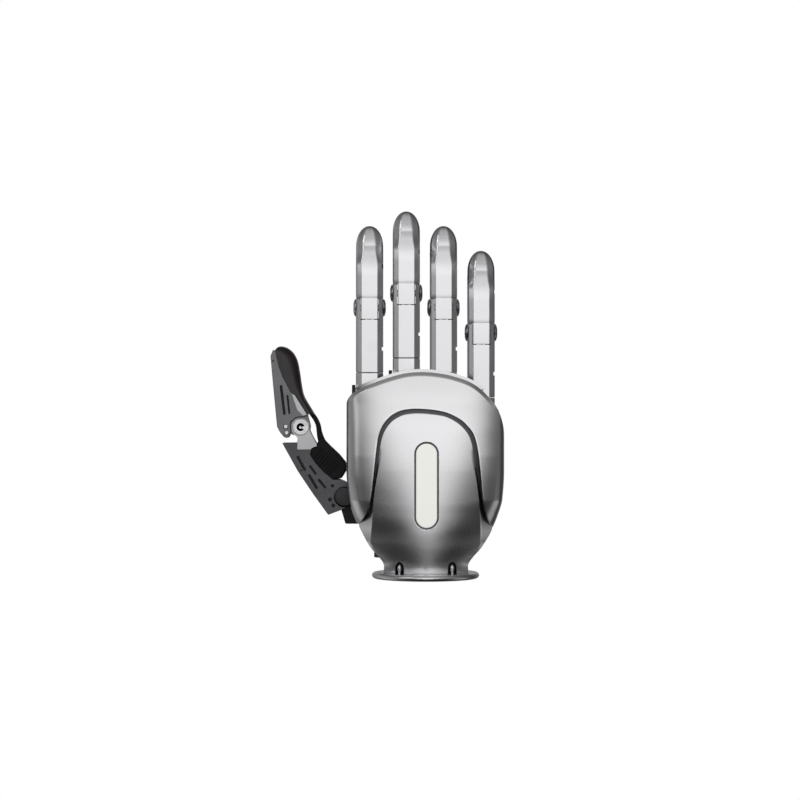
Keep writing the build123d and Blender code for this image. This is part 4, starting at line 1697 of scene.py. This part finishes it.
    def soft_tip(self, y0: float, y1: float) -> None:
        """The soft thumb tip, crowned across and rounded at its edges.

        Args:
            y0: Near face of the link.
            y1: Far face of the link.
        """
        outer = smooth_curve([(-82.0, 123.4), (-80.9, 124.8), (-78.9, 125.4), (-75.6, 124.6),
                              (-72.2, 121.9), (-69.9, 117.6), (-68.6, 111.6), (-67.7, 105.4),
                              (-66.6, 99.6), (-65.0, 96.0), (-62.7, 92.2), (-60.3, 88.2)], 72)
        seat = smooth_curve([(-81.75, 122.7), (-81.0, 119.4), (-79.6, 113.9), (-78.6, 110.8),
                             (-77.4, 108.1), (-75.6, 104.4), (-73.4, 100.6), (-70.9, 98.7),
                             (-69.0, 95.8), (-66.8, 92.2), (-64.4, 88.3)], 72)
        mid = (y0 + y1) / 2
        half = (y1 - y0) / 2 - 0.15
        rings = []
        across = 26
        for o, s in zip(outer, seat):
            ring = []
            for k in range(across + 1):
                a = math.pi * k / across
                reach = math.sin(a) ** 0.42 if 0 < k < across else 0.0
                x = s[0] + (o[0] - s[0]) * reach
                z = s[1] + (o[1] - s[1]) * reach
                ring.append((x, mid - half * math.cos(a), z))
            for k in range(1, 6):
                ring.append((s[0], mid + half - 2 * half * k / 6, s[1]))
            rings.append(ring)
        tip = loft("thumb_soft_tip", rings)
        dress(shade(tip, 50.0), "thumb_distal", TIP_RUBBER, "tip_rubber",
              ["thumb_fingertip_pad"])

    def grip(self) -> None:
        """The ribbed rubber pad on the inner side of the first link."""
        y0, y1 = self.low + 0.9, self.high - 0.9
        outline = rounded([(-62.7, 69.3), (-63.1, 66.0), (-61.1, 61.8), (-58.1, 57.6),
                           (-54.5, 53.8), (-49.7, 52.6), (-45.5, 53.4), (-43.3, 57.0),
                           (-43.3, 61.8), (-46.9, 66.2), (-52.2, 71.2), (-56.0, 75.2),
                           (-58.4, 74.0), (-59.3, 71.0)],
                          [1.5, 2, 2, 2, 3, 3, 2, 2, 2, 3, 3, 1, 1, 1], 6)
        pad = push("thumb_grip", outline, Axis.Y, y0 + 0.4, y1 - 0.4)
        dress(shade(soften(pad, 0.8, 4, 30.0), 40.0), "thumb_proximal", BLACK_RUBBER,
              "black_rubber", ["thumb_grip_pad"])
        way = Vector((9.0, -8.0)).normalized()
        across = Vector((-way.y, way.x))
        a, b = across * -4.6, across * 4.0
        rib = push("rib_master", slot_outline((a.x, a.y), (b.x, b.y), 0.95), Axis.Y,
                   y0 - 0.1, y1 + 0.1)
        soften(rib, 0.3, 3, 50.0)
        row = row_of("thumb_grip_ribs", rib, 8, (-59.6, 0, 66.2), (way.x * 1.75, 0, way.y * 1.75),
                     BLACK_RUBBER)
        dress(shade(row, 50.0), "thumb_proximal", BLACK_RUBBER, "black_rubber")

    def strap(self) -> None:
        """The black strap that runs from the soft tip over the upper joint into the pad."""
        outer = smooth_curve([(-63.0, 92.2), (-61.0, 89.0), (-59.0, 86.2), (-57.4, 82.6),
                              (-56.6, 78.8), (-55.4, 75.4), (-53.4, 71.6)], 49)
        inner = smooth_curve([(-65.0, 90.6), (-63.0, 87.6), (-61.1, 84.9), (-59.8, 81.8),
                              (-59.4, 78.5), (-58.9, 74.8), (-57.4, 70.6)], 49)
        rings = []
        for o, p in zip(outer, inner):
            ring = rounded([(0.0, 15.0), (1.0, 15.0), (1.0, 21.0), (0.0, 21.0)],
                           [0.25] * 4, 3)
            rings.append([(p[0] + (o[0] - p[0]) * s, y, p[1] + (o[1] - p[1]) * s)
                          for s, y in ring])
        band = loft("thumb_strap", rings)
        shade(band, 50.0)
        band.data.materials.append(BLACK_RUBBER.material())
        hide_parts("thumb_sensor_strap")
        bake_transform(band)
        log.info("thumb_strap: blended")

    def bracket(self) -> None:
        """The black bracket that carries the thumb."""
        y0, y1 = self.low + 3.3, self.high - 3.3
        arm = rounded([(-20.0, 28.4), (-43.6, 28.4), (-46.0, 36.5), (-49.4, 41.5), (-49.6, 45.4),
                       (-46.6, 48.6), (-41.6, 48.6), (-38.6, 44.8), (-37.4, 36.0), (-20.0, 36.0)],
                      [0, 1.0, 2.0, 3.0, 3.5, 3.5, 3.5, 3.0, 1.5, 0], 7)
        body = push("thumb_bracket", arm, Axis.Y, y0, y1)
        hub = turned("h", [(6.6, 28.2), (7.0, 28.6), (7.0, 35.6), (6.6, 36.0)], Axis.Z,
                     (-20, 18, 0), 56)
        shaft = turned("h", [(2.95, 19.2), (2.95, 30.0)], Axis.Z, (-20, 18, 0), 40)
        combine(body, [hub, shaft], Cut.JOIN)
        bore = turned("c", [(2.05, y0 - 1), (2.05, y1 + 1)], Axis.Y,
                      (self.base[0], 0, self.base[1]), 32)
        combine(body, [bore])
        dress(shade(soften(body, 0.4, 3, 45.0), 35.0), "thumb_swing", BLACK_POLYMER_AND_PAINTED_SHADE,
              "black_yoke", ["thumb_yoke"])

    def build(self) -> None:
        """Builds and dresses every thumb piece."""
        self.proximal()
        self.pins()
        self.distal()
        self.grip()
        self.strap()
        self.bracket()


# ------------------------------------------------------------------------------- studio


@dataclass
class Studio:
    """Backdrop, lights and camera."""

    eye: Point3 = (-13.8, -1228.0, 96.0)
    lens: float = 102.3
    picture_size: int = 800
    strength: float = 1.62
    centre: float = 0.04
    rise_peak: tuple[Point2, ...] = (
        (-90, 0.02), (-30, 0.02), (-12, 0.03), (-10, 0.06), (-8.8, 0.12), (-7.6, 0.38),
        (-6.4, 0.68), (-5, 0.78), (6, 0.8), (19, 0.75), (25, 0.55), (33, 0.33), (52, 0.32),
        (72, 0.2), (90, 0.06),
    )
    rise_width: tuple[Point2, ...] = (
        (-90, 0.07), (-12, 0.07), (-9, 0.078), (-7, 0.1), (-4.4, 0.128), (-1.7, 0.161),
        (2, 0.189), (5, 0.222), (12, 0.278), (17, 0.311), (40, 0.42), (90, 1.0),
    )
    turn_side: tuple[Point2, ...] = (
        (-180, 0.25), (-165, 0.2), (-150, 0.12), (-138, 0.16), (-122, 0.2), (-108, 0.18),
        (-92, 0.14), (-76, 0.1), (-58, 0.05), (-30, 0.02), (0, 0.0), (30, 0.01), (56, 0.05),
        (82, 0.07), (104, 0.02), (128, 0.02), (150, 0.1), (165, 0.2), (180, 0.25),
    )
    rise_side: tuple[Point2, ...] = (
        (-90, 0.2), (-40, 0.4), (-12, 0.85), (0, 1.0), (14, 1.0), (35, 0.5), (60, 0.22), (90, 0.12),
    )
    turn_low: tuple[Point2, ...] = ((-180, 0.0), (-122, 0.0), (-106, 0.2), (-80, 0.2),
                                    (-62, 0.0), (62, 0.0), (78, 0.22), (100, 0.22), (116, 0.0),
                                    (180, 0.0))
    turn_strip: tuple[Point2, ...] = ((-180, 0.0), (-63, 0.0), (-56, 0.44), (-50, 0.44), (-44, 0.0),
                                      (180, 0.0))
    rise_strip: tuple[Point2, ...] = ((-90, 0.0), (-6, 0.0), (-1, 0.3), (3, 0.8), (9, 1.0),
                                      (22, 1.0), (45, 0.3), (90, 0.0))
    rise_low: tuple[Point2, ...] = ((-90, 0.0), (-48, 0.0), (-32, 1.0), (-18, 1.0), (-10, 0.0),
                                    (90, 0.0))

    def panel(self, name: str, place: Point3, aim: Point3, size: Point2, brightness: float,
              mirrored: bool = True) -> None:
        """A soft light.

        Args:
            name: The light's name.
            place: Where it stands in millimetres.
            aim: What it points at in millimetres.
            size: Width and height in millimetres.
            brightness: How bright its face looks, where 1 is white.
            mirrored: Whether shiny faces show it.
        """
        lamp = bpy.data.lights.new(name, "AREA")
        lamp.shape = "RECTANGLE"
        lamp.size, lamp.size_y = size[0] * MM, size[1] * MM
        lamp.energy = brightness * math.pi * lamp.size * lamp.size_y
        obj = bpy.data.objects.new(name, lamp)
        bpy.context.scene.collection.objects.link(obj)
        obj.location = Vector(place) * MM
        obj.visible_glossy = mirrored
        way = (Vector(aim) - Vector(place)).normalized()
        obj.rotation_mode = "QUATERNION"
        obj.rotation_quaternion = way.to_track_quat("-Z", "Y")

    def ramp(self, tree: bpy.types.NodeTree, value: bpy.types.NodeSocket,
             stops: Sequence[Point2]) -> bpy.types.NodeSocket:
        """Reads a value off a row of stops in degrees.

        Args:
            tree: The world's node tree.
            value: An angle in radians.
            stops: Angles in degrees and the strength at each.

        Returns:
            The socket that carries the strength.
        """
        low, high = stops[0][0], stops[-1][0]
        span = add_node(tree, "ShaderNodeMapRange", values={
            "From Min": math.radians(low), "From Max": math.radians(high)})
        tree.links.new(value, span.inputs["Value"])
        node = add_node(tree, "ShaderNodeValToRGB")
        bar = node.color_ramp
        bar.interpolation = "EASE"
        while len(bar.elements) < len(stops):
            bar.elements.new(0.5)
        for element, (angle, strength) in zip(bar.elements, stops):
            element.position = (angle - low) / (high - low)
        for element, (angle, strength) in zip(bar.elements, stops):
            element.color = (strength, strength, strength, 1.0)
        tree.links.new(span.outputs["Result"], node.inputs["Fac"])
        return node.outputs["Color"]

    def sum_up(self, tree: bpy.types.NodeTree, how: str,
               *parts: object) -> bpy.types.NodeSocket:
        """Combines sockets and numbers with one maths operation.

        Args:
            tree: The world's node tree.
            how: The operation.
            parts: Sockets or numbers.

        Returns:
            The result's socket.
        """
        node = add_node(tree, "ShaderNodeMath", {"operation": how})
        for k, part in enumerate(parts):
            if isinstance(part, (int, float)):
                node.inputs[k].default_value = part
            else:
                tree.links.new(part, node.inputs[k])
        return node.outputs[0]

    def surround(self) -> None:
        """A studio that fades smoothly from a bright front to dark sides."""
        world = bpy.data.worlds.new("studio")
        bpy.context.scene.world = world
        world.use_nodes = True
        tree = world.node_tree
        tree.nodes.clear()
        coords = add_node(tree, "ShaderNodeTexCoord")
        split = add_node(tree, "ShaderNodeSeparateXYZ")
        tree.links.new(coords.outputs["Generated"], split.inputs[0])
        x, y, z = split.outputs
        turn = self.sum_up(tree, "ARCTAN2", x, self.sum_up(tree, "MULTIPLY", y, -1.0))
        aside = self.sum_up(tree, "SUBTRACT", turn, self.centre)
        rise = self.sum_up(tree, "ARCSINE", z)
        peak = self.ramp(tree, rise, self.rise_peak)
        width = self.sum_up(tree, "MULTIPLY", self.ramp(tree, rise, self.rise_width), 1.5708)
        away = self.sum_up(tree, "DIVIDE", self.sum_up(tree, "ABSOLUTE", aside), width)
        fall = self.sum_up(tree, "ADD", self.sum_up(tree, "POWER", away, 2.5), 1.0)
        front = self.sum_up(tree, "DIVIDE", peak, fall)
        side = self.sum_up(tree, "MULTIPLY", self.ramp(tree, turn, self.turn_side),
                           self.ramp(tree, rise, self.rise_side))
        low = self.sum_up(tree, "MULTIPLY", self.ramp(tree, turn, self.turn_low),
                          self.ramp(tree, rise, self.rise_low))
        strip = self.sum_up(tree, "MULTIPLY", self.ramp(tree, turn, self.turn_strip),
                            self.ramp(tree, rise, self.rise_strip))
        total = self.sum_up(tree, "ADD", self.sum_up(tree, "ADD", front, side),
                            self.sum_up(tree, "ADD", low, strip))
        glow = add_node(tree, "ShaderNodeBackground", values={"Color": (1, 1, 1, 1)})
        tree.links.new(self.sum_up(tree, "MULTIPLY", total, self.strength),
                       glow.inputs["Strength"])
        out = add_node(tree, "ShaderNodeOutputWorld")
        tree.links.new(glow.outputs[0], out.inputs[0])

    def backdrop(self) -> None:
        """A white wall behind the hand that lights nothing."""
        wall = new_object("white_wall", [(-9000, 2500, -9000), (9000, 2500, -9000),
                                         (9000, 2500, 9000), (-9000, 2500, 9000)],
                          [(0, 1, 2, 3)])
        mat = bpy.data.materials.new("white_wall")
        mat.use_nodes = True
        tree = mat.node_tree
        tree.nodes.clear()
        glow = add_node(tree, "ShaderNodeEmission", values={"Color": (1, 1, 1, 1),
                                                            "Strength": 1.0})
        out = add_node(tree, "ShaderNodeOutputMaterial")
        tree.links.new(glow.outputs[0], out.inputs[0])
        wall.data.materials.append(mat)
        wall.visible_glossy = False
        wall.visible_diffuse = False
        wall.visible_shadow = False

    def build(self) -> None:
        """Sets the world, the lights, the camera and the picture."""
        scene = bpy.context.scene
        self.surround()
        self.backdrop()
        hand = (0, 0, 100)
        self.panel("key_box", (-900, -1100, 1000), hand, (320, 320), 2.5)
        self.panel("palm_box", (600, 1300, 500), hand, (1000, 900), 7.0, mirrored=False)
        camera = bpy.data.cameras.new("camera")
        camera.lens = self.lens
        camera.sensor_width = 36.0
        camera.clip_end = 50.0
        obj = bpy.data.objects.new("camera", camera)
        scene.collection.objects.link(obj)
        obj.location = Vector(self.eye) * MM
        obj.rotation_euler = (math.pi / 2, 0, 0)
        scene.camera = obj
        scene.render.resolution_x = scene.render.resolution_y = self.picture_size
        scene.render.engine = "CYCLES"
        scene.view_settings.view_transform = "Standard"
        scene.view_settings.look = "None"


CARRIED = {
    "palm_frame": MOULDED, "palmar_shell": MOULDED,
    "light_board": CIRCUIT, "control_board": CIRCUIT, "finger_actuators": STEEL,
    "mcp_axles": STEEL, "shell_screws": STEEL, "thumb_swing_motor": STEEL,
    "thenar_housing": MOULDED, "thumb_actuator": STEEL,
}


def dress_carried() -> None:
    """Gives the CAD nodes that stay their node materials."""
    finishes = dict(CARRIED)
    for finger in FINGERS:
        finishes[f"{finger}_drive_rod"] = STEEL
        finishes[f"{finger}_coupling_bar"] = STEEL
    for node, finish in finishes.items():
        obj = bpy.data.objects[node]
        for k in range(max(len(obj.material_slots), 1)):
            if len(obj.material_slots) <= k:
                obj.data.materials.append(finish.material())
            else:
                obj.material_slots[k].material = finish.material()
        log.info("%s: carried over", node)


def main() -> None:
    """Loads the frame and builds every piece."""
    logging.basicConfig(level=logging.INFO, format="%(message)s")
    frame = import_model()
    _, flange_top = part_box("wrist_flange")
    pad_low, pad_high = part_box("palm_pad")
    Studio().build()
    FingerModule({f: joint_place(frame, f"{f}_knuckle") for f in FINGERS}).build()
    BackShell().build()
    Wrist(round(flange_top.x / MM, 2), round(flange_top.z / MM, 2)).build()
    PalmPad(round(pad_low.y / MM, 3), round(pad_high.y / MM, 3) - RIB_HEIGHT).build()
    Thumb(joint_place(frame, "thumb_base_joint"), joint_place(frame, "thumb_tip_joint")).build()
    dress_carried()


if __name__ == "__main__":
    main()
